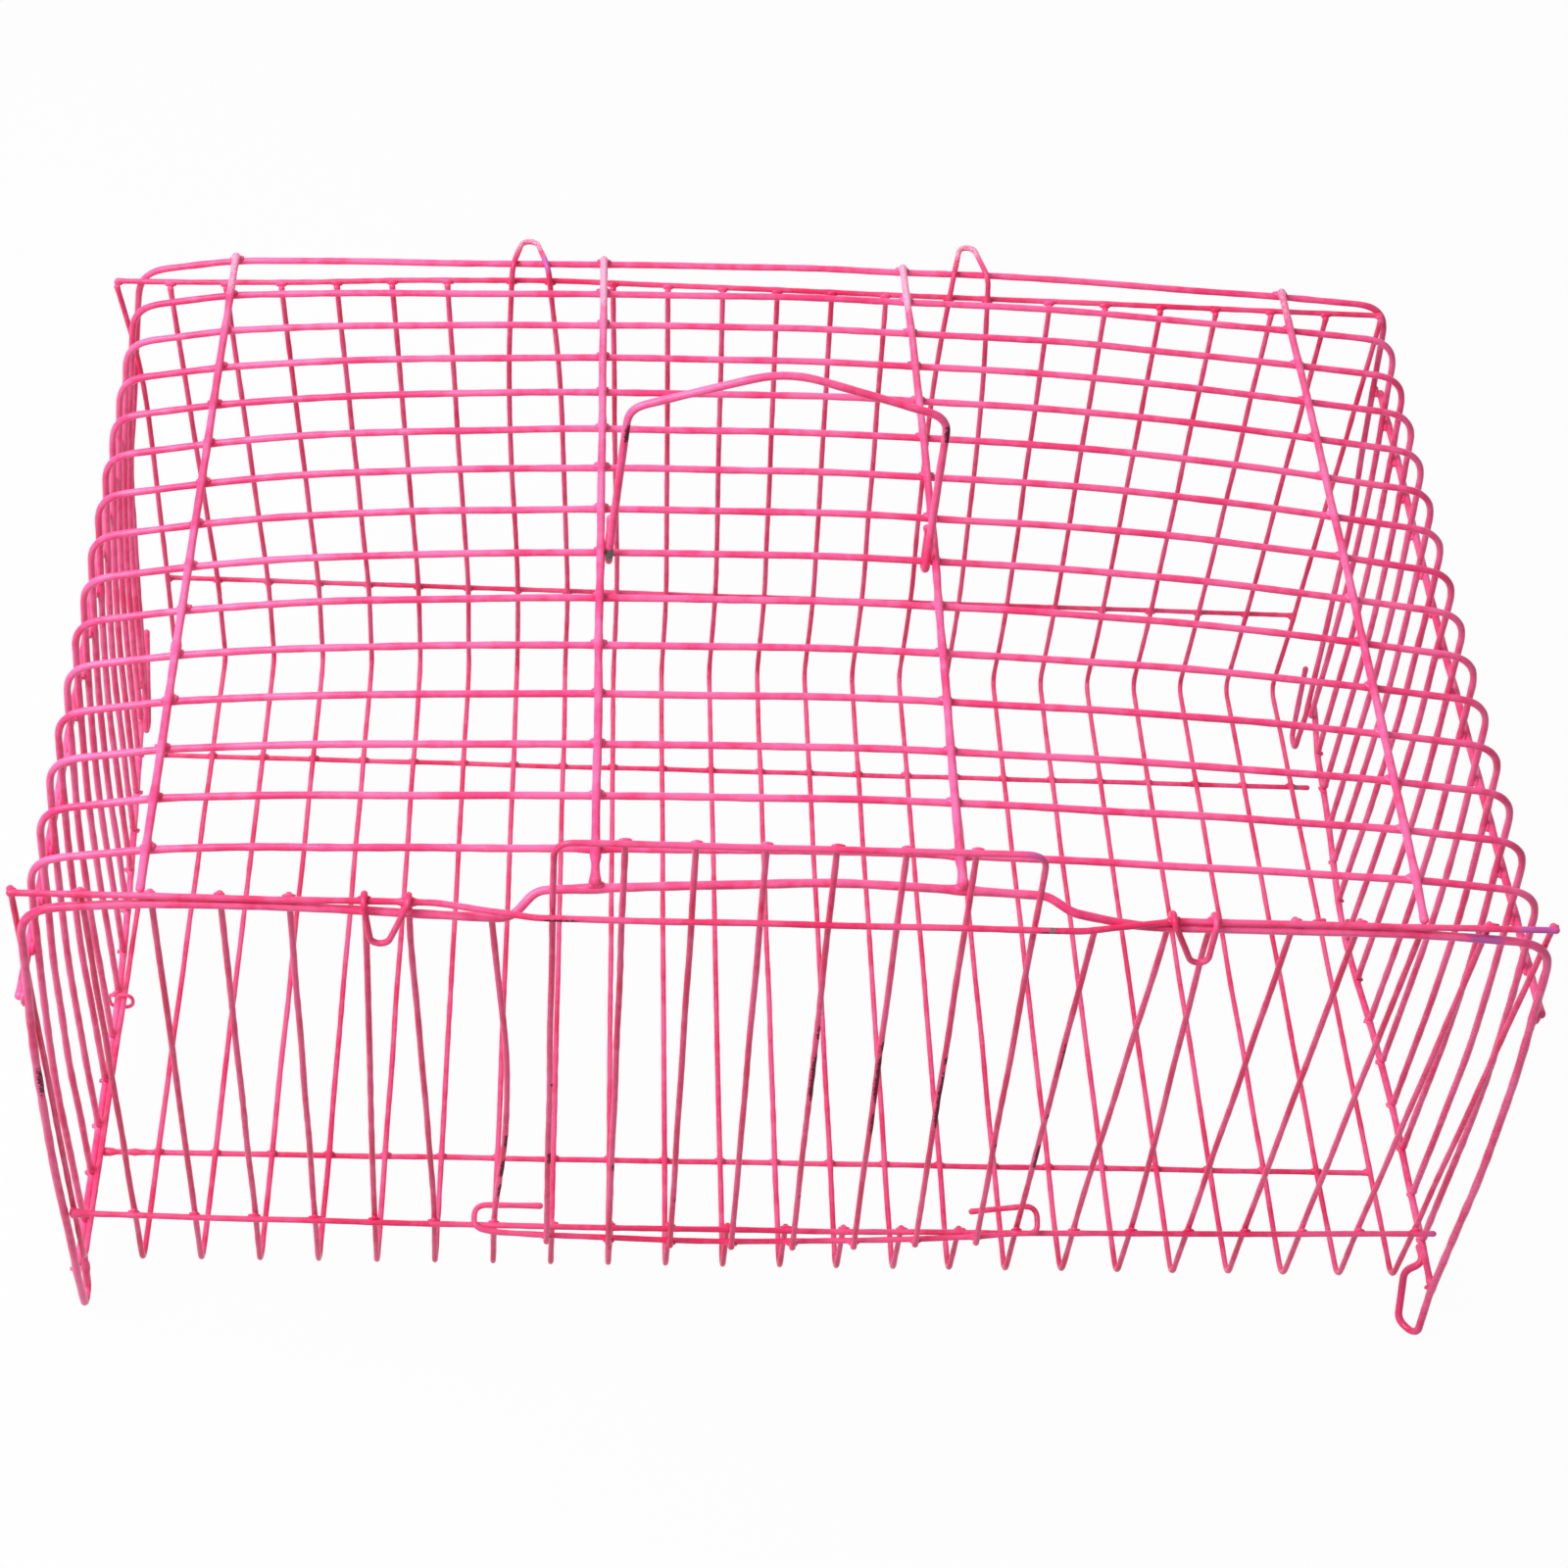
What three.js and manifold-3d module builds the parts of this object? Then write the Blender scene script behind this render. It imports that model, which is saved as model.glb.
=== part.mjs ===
// Portable bird cage of plastic-dipped steel wire: a tray of bent wires, a cover of
// hoops tied over it, a door that slides up in front, and a swinging carrying handle.
// Millimetres. +X is the viewer's right, +Y the back and +Z up.
import * as THREE from 'three';
import { mergeVertices } from 'three/addons/utils/BufferGeometryUtils.js';
import Module from 'manifold-3d';

const wasm = await Module();
wasm.setup();

// Wire diameters, each with its dipped coat, and the clearance where wires touch
const trayWire = 2.5;
const crossWire = 2.5;
const doorWire = 2.5;
const hoopWire = 3;
const frontHoopWire = 3.4;
const railWire = 3.3;
const handleWire = 3.2;
const ringWire = 1.8;
const clearance = 0.3;

// Facets of a thin and of a thick wire, and steps of a sharp and of a wide bend
const thinSides = 6;
const thickSides = 8;
const bendSteps = 3;
const turnSteps = 5;

// Tray: one row of wires bent up at the front and at the back
const wireCount = 24;
const wirePitch = 25;
const trayDepth = 362;
const trayBend = 6;
const trayHeight = 251;
const backSkew = 9;
const skewTaper = 225;
const skewSpare = 50;
const endLap = 1.5;

// Cross wires under and round the tray
const lowerCrossHeight = 42;
const lowerCrossSag = 5.5;
const lowerCrossStep = 4;
const crossOverhang = 9;
const floorBarFront = 58;
const floorBarBack = 295;
const backLowerHeight = 53;
const backBarOverhang = 8.5;
const backBarDrop = 11;
const frontBarOverhang = 1;
const frontBarSpare = 0.25;

// Cover: hoops from the back to the front
const hoopCount = 16;
const hoopTop = 252;
const frontHoopTop = 251;
const frontHoopDip = 4;
const frontCornerDrop = 5;
const cornerRadius = 16;
const leftCorner = 285;
const rightCorner = 289;
const leftFoot = 290.6;
const rightFoot = 306;
const leftFlare = 13.4;
const flarePower = 1.3;
const ringPull = 6;
const ringPullReach = 62;
const legBulge = 3;
const backLean = 17;
const leanStart = 165;

// Rails that join the hoops
const outerRailLeft = 241;
const innerRailLeft = 76;
const innerRailRight = 60;
const outerRailRight = 237;
const topRailOverhang = 0.5;
const bottomRailOverhang = 3;
const sideRailHeights = { left: { front: 191, back: 185 }, right: { front: 200, back: 203 } };
const sideRailStep = 3;
const bottomRailHeight = -3;

// A hoop's rise over hoopTop at places across it: at the front, how much more it swells
// in the middle of the cover, and how much it lifts towards the back
const swellPower = 1.3;
const hoopProfile = [
  { across: -264, rise: -4.5, swell: 0, lift: 0 },
  { across: -outerRailLeft, rise: 0, swell: 0.6, lift: 0 },
  { across: -195, rise: 2.5, swell: 6, lift: 0 },
  { across: -140, rise: 4, swell: 9.5, lift: 0 },
  { across: -innerRailLeft, rise: 5.8, swell: 11.5, lift: 1 },
  { across: 20, rise: 8, swell: 11, lift: 2 },
  { across: innerRailRight, rise: 7.5, swell: 10.5, lift: 2 },
  { across: 120, rise: 5.2, swell: 9.5, lift: 5 },
  { across: 180, rise: 3, swell: 7.5, lift: 4 },
  { across: outerRailRight, rise: 0.5, swell: 2, lift: 4.6 },
  { across: 264, rise: -2.5, swell: 0.5, lift: 6 },
];

// Feet: the ends of the first and last hoop, bent into loops
const footDepth = 33.7;
const footFlat = 4.5;
const footBend = 3.6;
const footWidth = 16;
const footTip = 10;
const footRise = 8;
const frontRightBulge = 7;
const frontRightBend = 5.5;
const frontLeftShift = 7;
const frontRightShift = -1;
const backLeftShift = -9;
const backRightShift = 5;

// Door
const doorLeftTop = 91.5;
const doorLeftBottom = 89.7;
const doorRightTop = 86.6;
const doorRightBottom = 94.3;
const doorBarCount = 6;
const doorTop = 294;
const doorCorner = 8;
const doorLean = 3;
const strandSag = 6;
const strandRightRise = 11;
const strandHeight = 37;
const strandSpare = 0.15;
const barTip = 3;
const weldSink = 0.6;
const hairpinReach = 8;
const hairpinDepth = 11.1;
const hairpinTail = 21;
const rightTurnRise = 5;
const rightTailDrop = 6;
const guideBow = 7;
const bulgeLeft = 5;
const bulgeCrown = 14;
const bulgeRight = 9;
const bulgeMiddle = 10;
const bulgeBend = 200;
const bulgeSetBack = 6.5;
const bulgeMargin = 6;
const bowTaper = 36;
const jogLength = 9;

// Hooks that tie the cover to the tray
const hookHalfWidth = 8;
const hookTipHalf = 3.2;
const hookBend = 4;
const hookDrop = 14;
const hookSwing = 2;
const leftHookSwing = 4.7;
const rightHookSwing = -2.8;
const backHookSwing = 0.8;
const hookNeck = 15;
const frontHookLean = 190;
const backHookLean = 60;
const leftHookReach = 13;
const leftHookRise = -1;
const rightHookReach = 13;
const rightHookRise = 2;

// Handle
const shoulderHeight = 77;
const apexRise = 20;
const shoulderBend = 9;
const apexBend = 40;
const shoulderInset = 5;
const handleTip = 17;

// Hog rings
const leftRingHoop = 10;
const leftRingAhead = 4.2;
const rightRingHoop = 8;
const rightRingBehind = 8.3;
const ringRoom = 1.2;
const ringMouth = 3;

// Distance between the centres of two wires that touch
function beside(one, other) {
  return (one + other) / 2 + clearance;
}

const crossStep = beside(trayWire, crossWire);
const halfTray = wirePitch * (wireCount - 1) / 2;
const frontCrossY = -crossStep;
const backCrossY = trayDepth + crossStep;
const frontHoopY = -beside(trayWire, frontHoopWire);
const backHoopY = backCrossY + beside(crossWire, hoopWire);
const hoopPitch = (backHoopY - frontHoopY) / (hoopCount - 1);
const frontBarZ = frontHoopTop + beside(crossWire, frontHoopWire) + frontBarSpare;
const firstOpenWire = 9;
const lastOpenWire = 16;
const leftGuide = firstOpenWire - 1;
const rightGuide = lastOpenWire + 1;

function wireX(number) {
  return (number - (wireCount + 1) / 2) * wirePitch;
}

function hoopY(number) {
  return backHoopY - (number - 1) * hoopPitch;
}

const leftRingPlace = hoopY(leftRingHoop) - leftRingAhead;
const rightRingPlace = hoopY(rightRingHoop) + rightRingBehind;

function point(x, y, z) {
  return new THREE.Vector3(x, y, z);
}

function ease(share) {
  const held = Math.min(Math.max(share, 0), 1);
  return held * held * (3 - 2 * held);
}

// A wire's centre line: stations joined by straight steps, with mitred sections
class WirePath extends THREE.Curve {
  constructor(stations) {
    super();
    this.stations = stations;
  }

  getPoint(share, target = new THREE.Vector3()) {
    const place = share * (this.stations.length - 1);
    const before = Math.min(Math.floor(place), this.stations.length - 2);
    return target.lerpVectors(this.stations[before], this.stations[before + 1], place - before);
  }

  getPointAt(share, target) {
    return this.getPoint(share, target);
  }

  getTangentAt(share, target = new THREE.Vector3()) {
    const last = this.stations.length - 1;
    const here = Math.round(share * last);
    target.set(0, 0, 0);
    if (here > 0) target.add(this.stations[here].clone().sub(this.stations[here - 1]).normalize());
    if (here < last) target.add(this.stations[here + 1].clone().sub(this.stations[here]).normalize());
    return target.normalize();
  }
}

// Stations along a chain of corners, each corner rounded to its own radius
function bent(corners) {
  const stations = [corners[0].at];
  for (let i = 1; i < corners.length - 1; i += 1) {
    const { at, radius = 0, steps = bendSteps } = corners[i];
    const back = corners[i - 1].at.clone().sub(at);
    const on = corners[i + 1].at.clone().sub(at);
    const room = Math.min(back.length(), on.length()) / 2;
    back.normalize();
    on.normalize();
    const half = back.angleTo(on) / 2;
    const setback = Math.min(radius / Math.tan(half), room);
    if (setback <= 0) {
      stations.push(at);
      continue;
    }
    const inward = back.clone().add(on).normalize();
    const centre = at.clone().addScaledVector(inward, setback / Math.cos(half));
    const start = at.clone().addScaledVector(back, setback).sub(centre);
    const end = at.clone().addScaledVector(on, setback).sub(centre);
    const sweep = start.angleTo(end);
    for (let step = 0; step <= steps; step += 1) {
      const turn = sweep * step / steps;
      const from = start.clone().multiplyScalar(Math.sin(sweep - turn) / Math.sin(sweep));
      const to = end.clone().multiplyScalar(Math.sin(turn) / Math.sin(sweep));
      stations.push(centre.clone().add(from).add(to));
    }
  }
  stations.push(corners[corners.length - 1].at);
  return stations;
}

function corner(x, y, z, radius = 0, steps = bendSteps) {
  return { at: point(x, y, z), radius, steps };
}

// The round section of a wire as a polygon whose flats face up, down and sideways
function section(diameter, sides) {
  const outline = new THREE.Shape();
  for (let side = 0; side < sides; side += 1) {
    const turn = Math.PI * (2 * side + sides % 4 / 2 + 1) / sides;
    const across = diameter / 2 * Math.cos(turn);
    const along = diameter / 2 * Math.sin(turn);
    if (side === 0) outline.moveTo(across, along);
    else outline.lineTo(across, along);
  }
  outline.closePath();
  return outline;
}

function tube(corners, diameter, sides) {
  const stations = bent(corners);
  return new THREE.ExtrudeGeometry(section(diameter, sides), {
    steps: stations.length - 1,
    extrudePath: new WirePath(stations),
    bevelEnabled: false,
  });
}

// A closed surface as a solid for joining
function solid(geometry) {
  const plain = geometry.clone();
  plain.deleteAttribute('normal');
  plain.deleteAttribute('uv');
  const merged = mergeVertices(plain);
  return new wasm.Manifold(new wasm.Mesh({
    numProp: 3,
    vertProperties: new Float32Array(merged.getAttribute('position').array),
    triVerts: new Uint32Array(merged.getIndex().array),
  }));
}

function joined(first, second) {
  const whole = solid(first).add(solid(second)).getMesh();
  const geometry = new THREE.BufferGeometry();
  geometry.setAttribute('position', new THREE.BufferAttribute(whole.vertProperties, 3));
  geometry.setIndex(new THREE.BufferAttribute(whole.triVerts, 1));
  geometry.computeVertexNormals();
  return geometry;
}

const cage = new THREE.Group();

function addPiece(name, geometry, colour, roughness) {
  const material = new THREE.MeshStandardMaterial({ color: colour, roughness, metalness: 0 });
  const mesh = new THREE.Mesh(geometry, material);
  mesh.name = name;
  cage.add(mesh);
}

// Coat colours: the top wires are paler than those in the tray
const trayPink = 0xee3f78;
const coverPink = 0xfb5c93;
const doorPink = 0xf0487f;
const handlePink = 0xf55489;
const ringPink = 0xf2507f;
const glossyShare = 0.3;

// Heights and places that several pieces follow

function lowerCrossZ(x) {
  const across = x / halfTray;
  return lowerCrossHeight - lowerCrossSag * (1 - across * across);
}

function backBarZ(x) {
  const toLeftEnd = ease(-(x + innerRailLeft) / (halfTray - innerRailLeft));
  return trayHeight - backBarDrop * toLeftEnd;
}

// How far the top bar bows forward in front of the door, as a share from its ends
function bowShare(x) {
  const left = -doorLeftTop - bulgeMargin;
  const right = doorRightBottom + 2 * bulgeMargin;
  return Math.min((x - left) / bowTaper + 1, (right - x) / bowTaper + 1, 1);
}

const strandY = frontCrossY - beside(crossWire, doorWire) - strandSpare;
const doorY = strandY - beside(doorWire, doorWire);

// The door leans back by doorLean over the tray's height
function doorPlaneY(z) {
  return doorY + doorLean * (z - strandHeight) / trayHeight;
}

const frontBarBow = doorPlaneY(frontBarZ) - beside(crossWire, doorWire) - frontCrossY;

function frontBarY(x) {
  return frontCrossY + frontBarBow * Math.max(bowShare(x), 0);
}

// The height of a hoop's centre line, straight between the places of its profile
function hoopZ(x, y) {
  const along = (y - frontHoopY) / (backHoopY - frontHoopY);
  const swollen = Math.sin(Math.PI * along ** swellPower);
  const height = ({ rise, swell, lift }) => hoopTop + rise + swell * swollen + lift * along;
  const next = hoopProfile.findIndex(({ across }) => across > x);
  const after = next > 0 ? next : (x < 0 ? 1 : hoopProfile.length - 1);
  const from = hoopProfile[after - 1];
  const to = hoopProfile[after];
  const share = (x - from.across) / (to.across - from.across);
  return height(from) + share * (height(to) - height(from));
}

// The front hoop's height where it is set back behind the door
function bulgeZ(x) {
  const left = x < bulgeMiddle;
  const jog = left ? -doorLeftTop - bulgeMargin : doorRightTop + bulgeMargin;
  const end = left ? bulgeLeft : bulgeRight;
  return frontHoopTop + end + (bulgeCrown - end) * (jog - x) / (jog - bulgeMiddle);
}

// The back wall leans to the left, less so near its right end; its left wire leans only
// above the side rail that it passes
function backLeanStart(number) {
  return number === 1 ? sideRailHeights.left.back + railWire : backLowerHeight;
}

function backWallX(number, z) {
  const x = wireX(number);
  const start = backLeanStart(number);
  const lean = backSkew * Math.min((halfTray + skewSpare - x) / skewTaper, 1);
  return x - lean * Math.max(z - start, 0) / (trayHeight - start);
}

// The cover's sides: flared at the back on the left, drawn in by the ring on the right
function leftFootX(y) {
  const along = Math.max((y - leftRingPlace) / (trayDepth - leftRingPlace), 0);
  return -leftFoot - leftFlare * along ** flarePower;
}

function rightFootX(y) {
  const along = (y - rightRingPlace) / ringPullReach;
  return rightFoot - ringPull * Math.exp(-along * along);
}

// One leg's places from its corner to the bottom rail
const legMiddle = hoopTop / 2;
const legMiddleShare = 0.6;

function hoopCorner(side, y) {
  const x = side < 0 ? -leftCorner : rightCorner;
  const isFront = y < frontHoopY + clearance;
  return corner(x, y, isFront ? frontHoopTop - frontCornerDrop : hoopZ(x, y), cornerRadius);
}

function legX(side, y, z) {
  const top = hoopCorner(side, y).at;
  const foot = side < 0 ? leftFootX(y) : rightFootX(y);
  const middle = top.x + legMiddleShare * (foot - top.x) + side * legBulge;
  if (z > legMiddle) return middle + (top.x - middle) * (z - legMiddle) / (top.z - legMiddle);
  return middle + (foot - middle) * (legMiddle - z) / legMiddle;
}

const bottomRailTop = bottomRailHeight + beside(railWire, hoopWire) - hoopWire / 2;

// The back hoop's legs lean forward towards its feet
function legY(number, z) {
  if (number > 1) return hoopY(number);
  return backHoopY - backLean * Math.max(leanStart - z, 0) / leanStart;
}

// Tray wires

function frontWall(number) {
  const x = wireX(number);
  if (number >= firstOpenWire && number <= lastOpenWire) {
    return [corner(x, 0, lowerCrossZ(x) + endLap)];
  }
  // The door's guides end behind the front hoop, where it dips
  const guideTop = frontHoopTop - frontHoopDip;
  if (number === rightGuide) return [corner(x, 0, guideTop)];
  if (number === leftGuide) {
    return [
      corner(x - endLap, 0, guideTop),
      corner(x + guideBow, 0, frontBarZ / 2),
      corner(x, 0, lowerCrossZ(x)),
    ];
  }
  const railUnderside = frontHoopTop + beside(railWire, frontHoopWire) - railWire / 2;
  const underRail = Math.abs(x - outerRailRight) < beside(trayWire, railWire);
  return [corner(x, 0, underRail ? railUnderside - clearance : frontBarZ + endLap)];
}

function backWall(number) {
  const top = backBarZ(wireX(number)) + endLap;
  return [
    corner(wireX(number), trayDepth, backLeanStart(number)),
    corner(backWallX(number, top), trayDepth, top),
  ];
}

function floorCorners(number) {
  const x = wireX(number);
  return [corner(x, 0, 0, trayBend), corner(x, trayDepth, 0, trayBend)];
}

// Half of a front hook: the wire leans in, then goes over the bar and the front hoop
function frontHook(number, side) {
  const middle = wireX(number) - side * wirePitch / 2;
  const x = middle + side * hookHalfWidth - hookSwing;
  const over = frontBarZ + crossStep;
  const ahead = frontHoopY - beside(trayWire, frontHoopWire);
  return [
    corner(x, ahead, over, crossStep),
    corner(x, 0, over, crossStep),
    corner(x, 0, frontHoopTop - hookNeck),
    corner(wireX(number), 0, frontHoopTop - frontHookLean),
  ];
}

function frontHookTip(number, side) {
  const middle = wireX(number) - side * wirePitch / 2;
  const swing = middle < 0 ? leftHookSwing : rightHookSwing;
  const x = middle + side * hookTipHalf - swing;
  return [corner(x, frontHoopY - beside(trayWire, frontHoopWire) - hookSwing,
    frontHoopTop - hookDrop, hookBend, turnSteps)];
}

// Half of a back hook: the wire goes over the last hoop and points back
function backHookMiddle(number, side) {
  const x = (backWallX(number, hoopTop) + backWallX(number - side, hoopTop)) / 2;
  return point(x, trayDepth, hoopZ(x, backHoopY) + beside(trayWire, hoopWire) + clearance);
}

function backHook(number, side) {
  const middle = backHookMiddle(number, side);
  const lean = hoopTop - backHookLean;
  return [
    corner(middle.x + side * hookHalfWidth, trayDepth, middle.z, 2 * trayWire),
    corner(backWallX(number, lean), trayDepth, lean),
    corner(wireX(number), trayDepth, backLowerHeight),
  ];
}

function backHookTip(number, side) {
  const middle = backHookMiddle(number, side);
  const reach = middle.x < 0 ? leftHookReach : rightHookReach;
  const rise = middle.x < 0 ? leftHookRise : rightHookRise;
  const x = middle.x + side * hookTipHalf - backHookSwing;
  return [corner(x, backHoopY + reach, middle.z + rise, hookBend, turnSteps)];
}

function hookedPair(left, tip, hook, farWall, atFront) {
  const halves = [left, left + 1].map((number, i) => {
    const side = 2 * i - 1;
    const floor = atFront ? floorCorners(number) : floorCorners(number).reverse();
    return [...tip(number, side), ...hook(number, side), ...floor, ...farWall(number)];
  });
  return [...halves[0].reverse(), ...halves[1]];
}

function twoDigits(number) {
  return String(number).padStart(2, '0');
}

function addTrayWires() {
  const frontPairs = [leftGuide - 2, rightGuide + 1];
  const backPairs = [leftGuide, lastOpenWire];
  for (let number = 1; number <= wireCount; number += 1) {
    let corners = [
      ...frontWall(number),
      ...floorCorners(number),
      ...backWall(number),
    ];
    let name = `tray_wire_${twoDigits(number)}`;
    if (frontPairs.includes(number)) {
      corners = hookedPair(number, frontHookTip, frontHook, backWall, true);
    } else if (backPairs.includes(number)) {
      const outward = (at) => frontWall(at).reverse();
      corners = hookedPair(number, backHookTip, backHook, outward, false);
    }
    if (frontPairs.includes(number) || backPairs.includes(number)) {
      name += `_${twoDigits(number + 1)}`;
      number += 1;
    }
    addPiece(name, tube(corners, trayWire, thinSides), trayPink, glossyShare);
  }
}

// Cross wires

function addCrossWires() {
  const lowerCorners = [corner(-halfTray - endLap, frontCrossY, lowerCrossHeight)];
  for (let number = lowerCrossStep; number < wireCount; number += lowerCrossStep) {
    const x = wireX(number) + wirePitch / 2;
    lowerCorners.push(corner(x, frontCrossY, lowerCrossZ(x)));
  }
  lowerCorners.push(corner(halfTray + crossOverhang, frontCrossY, lowerCrossHeight));
  addPiece('front_lower_bar', tube(lowerCorners, crossWire, thinSides), trayPink, glossyShare);

  const bowLeft = -doorLeftTop - bulgeMargin;
  const bowRight = doorRightBottom + 2 * bulgeMargin;
  addPiece('front_top_bar', tube([
    corner(-halfTray - frontBarOverhang, frontCrossY, frontBarZ),
    corner(bowLeft - bowTaper, frontCrossY, frontBarZ, bowTaper),
    corner(bowLeft, frontBarY(0), frontBarZ, bowTaper),
    corner(bowRight, frontBarY(0), frontBarZ, bowTaper),
    corner(bowRight + bowTaper, frontCrossY, frontBarZ, bowTaper),
    corner(halfTray + endLap, frontCrossY, frontBarZ),
  ], crossWire, thinSides), trayPink, glossyShare);

  const leftEnd = -halfTray - endLap + clearance;
  addPiece('floor_bar_front', tube([
    corner(leftEnd, floorBarFront, -crossStep),
    corner(halfTray + endLap, floorBarFront, -crossStep),
  ], crossWire, thinSides), trayPink, glossyShare);
  addPiece('floor_bar_back', tube([
    corner(-halfTray - endLap, floorBarBack, -crossStep),
    corner(halfTray + crossOverhang + endLap, floorBarBack, -crossStep),
  ], crossWire, thinSides), trayPink, glossyShare);

  addPiece('back_lower_bar', tube([
    corner(-halfTray - endLap, backCrossY, backLowerHeight),
    corner(halfTray + endLap, backCrossY, backLowerHeight),
  ], crossWire, thinSides), trayPink, glossyShare);

  const barCorners = [corner(-halfTray - backBarOverhang, backCrossY, backBarZ(-halfTray))];
  for (let number = 3; number <= leftGuide + 1; number += 2) {
    const z = backBarZ(wireX(number));
    barCorners.push(corner(backWallX(number, z), backCrossY, z));
  }
  const rightEnd = backWallX(wireCount, trayHeight) + endLap;
  barCorners.push(corner(rightEnd, backCrossY, trayHeight));
  addPiece('back_top_bar', tube(barCorners, crossWire, thinSides), trayPink, glossyShare);
}

// Cover hoops

function legCorners(number, side) {
  const y = hoopY(number);
  const corners = [
    corner(legX(side, y, legMiddle), legY(number, legMiddle), legMiddle),
    hoopCorner(side, y),
  ];
  if (number === 1) corners.splice(1, 0, corner(legX(side, y, leanStart), y, leanStart));
  return corners;
}

// A foot loop from its tip to the leg: a front one ends along the underside of the
// bottom rail, a back one stands up behind it
function footCorners(side, legPlaceY, shift, diameter) {
  const x = legX(side, legPlaceY, 0);
  const bottom = bottomRailHeight - footDepth + diameter / 2;
  const under = bottomRailHeight - beside(railWire, diameter);
  const riseY = legPlaceY + footWidth;
  const tip = diameter === frontHoopWire
    ? [corner(x, riseY + footTip, under), corner(x, riseY, under, footBend)]
    : [corner(x, riseY + footTip / 2, footRise)];
  const bulge = side > 0 && diameter === frontHoopWire ? frontRightBulge : 0;
  const bend = bulge ? frontRightBend : footBend;
  if (bulge) tip.push(corner(x - bulge, riseY, (3 * under + bottom) / 4, bulge, turnSteps));
  return [
    ...tip,
    corner(x - bulge, legPlaceY + shift + footFlat, bottom, bend, turnSteps),
    corner(x, legPlaceY + shift - footFlat, bottom, bend, turnSteps),
    corner(x, legPlaceY, under, footBend),
  ];
}

function hoopCorners(number) {
  const y = hoopY(number);
  return hoopProfile.map(({ across }) => corner(across, y, hoopZ(across, y)));
}

function addHoops() {
  for (let number = 1; number < hoopCount; number += 1) {
    const y = hoopY(number);
    const ends = [-1, 1].map((side) => {
      if (number > 1) return [corner(legX(side, y, 0), y, bottomRailTop)];
      return footCorners(side, legY(1, 0), side < 0 ? backLeftShift : backRightShift, hoopWire);
    });
    const corners = [
      ...ends[0],
      ...legCorners(number, -1),
      ...hoopCorners(number),
      ...legCorners(number, 1).reverse(),
      ...ends[1].reverse(),
    ];
    addPiece(`cover_hoop_${twoDigits(number)}`, tube(corners, hoopWire, thickSides),
      coverPink, glossyShare);
  }
}

// The front hoop steps back behind the door and dips beside it
function addFrontHoop() {
  const y = frontHoopY;
  const top = frontHoopTop;
  const jogLeft = -doorLeftTop - bulgeMargin;
  const jogRight = doorRightTop + bulgeMargin;
  const backY = y + bulgeSetBack;
  const corners = [
    ...footCorners(-1, y, frontLeftShift, frontHoopWire),
    corner(legX(-1, y, legMiddle), y, legMiddle),
    hoopCorner(-1, y),
    corner(-outerRailLeft, y, top),
    corner(wireX(leftGuide) - 3 * wirePitch, y, top),
    corner(jogLeft - jogLength, y, top - frontHoopDip, jogLength),
    corner(jogLeft, backY, bulgeZ(jogLeft), jogLength),
    corner(bulgeMiddle, backY, bulgeZ(bulgeMiddle), bulgeBend),
    corner(jogRight, backY, bulgeZ(jogRight), jogLength),
    corner(jogRight + jogLength, y, bulgeZ(jogRight) - endLap, jogLength),
    corner(jogRight + bowTaper, y, top),
    corner(outerRailRight, y, top),
    hoopCorner(1, y),
    corner(legX(1, y, legMiddle), y, legMiddle),
    ...footCorners(1, y, frontRightShift, frontHoopWire).reverse(),
  ];
  addPiece(`cover_hoop_${hoopCount}`, tube(corners, frontHoopWire, thickSides),
    coverPink, glossyShare);
}

// Rails

function topRail(x) {
  const over = beside(railWire, hoopWire);
  const overFront = beside(railWire, frontHoopWire);
  const corners = [corner(x, backHoopY + topRailOverhang, hoopZ(x, backHoopY) + over)];
  for (let number = 1; number < hoopCount; number += 1) {
    corners.push(corner(x, hoopY(number), hoopZ(x, hoopY(number)) + over));
  }
  if (x > -outerRailLeft && x < outerRailRight) {
    corners.push(corner(x, frontHoopY + bulgeSetBack - endLap, bulgeZ(x) + overFront));
  } else {
    const behindBar = frontCrossY + crossWire / 2 + clearance;
    corners.push(corner(x, behindBar, frontHoopTop + overFront));
  }
  return corners;
}

function sideRail(side, heights) {
  const corners = [];
  for (let number = hoopCount; number >= 1; number -= sideRailStep) {
    const y = hoopY(number);
    const along = (hoopCount - number) / (hoopCount - 1);
    const z = heights.front + (heights.back - heights.front) * along;
    const out = beside(railWire, number === hoopCount ? frontHoopWire : hoopWire);
    corners.push(corner(legX(side, y, z) + side * out, y, z));
  }
  return corners;
}

// A bottom rail runs under the legs and passes outside the leaning back leg
function bottomRail(side) {
  const backLeg = legY(1, 0);
  const start = frontHoopY + frontHoopWire / 2 + clearance;
  const corners = [corner(legX(side, start, 0), start, bottomRailHeight)];
  for (let number = hoopCount - 1; number > 2; number -= 1) {
    const y = hoopY(number);
    corners.push(corner(legX(side, y, 0), y, bottomRailHeight));
  }
  const last = legX(side, backLeg, 0) + side * beside(railWire, hoopWire);
  corners.push(corner(last, backLeg - railWire, bottomRailHeight));
  corners.push(corner(last, backLeg + bottomRailOverhang, bottomRailHeight));
  return corners;
}

function addRails() {
  const places = [-outerRailLeft, -innerRailLeft, innerRailRight, outerRailRight];
  places.forEach((x, i) => {
    addPiece(`top_rail_${i + 1}`, tube(topRail(x), railWire, thickSides), coverPink, glossyShare);
  });
  for (const [side, word] of [[-1, 'left'], [1, 'right']]) {
    addPiece(`side_rail_${word}`, tube(sideRail(side, sideRailHeights[word]), railWire,
      thickSides), coverPink, glossyShare);
    addPiece(`bottom_rail_${word}`, tube(bottomRail(side), railWire, thickSides),
      coverPink, glossyShare);
  }
}

// Door

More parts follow.
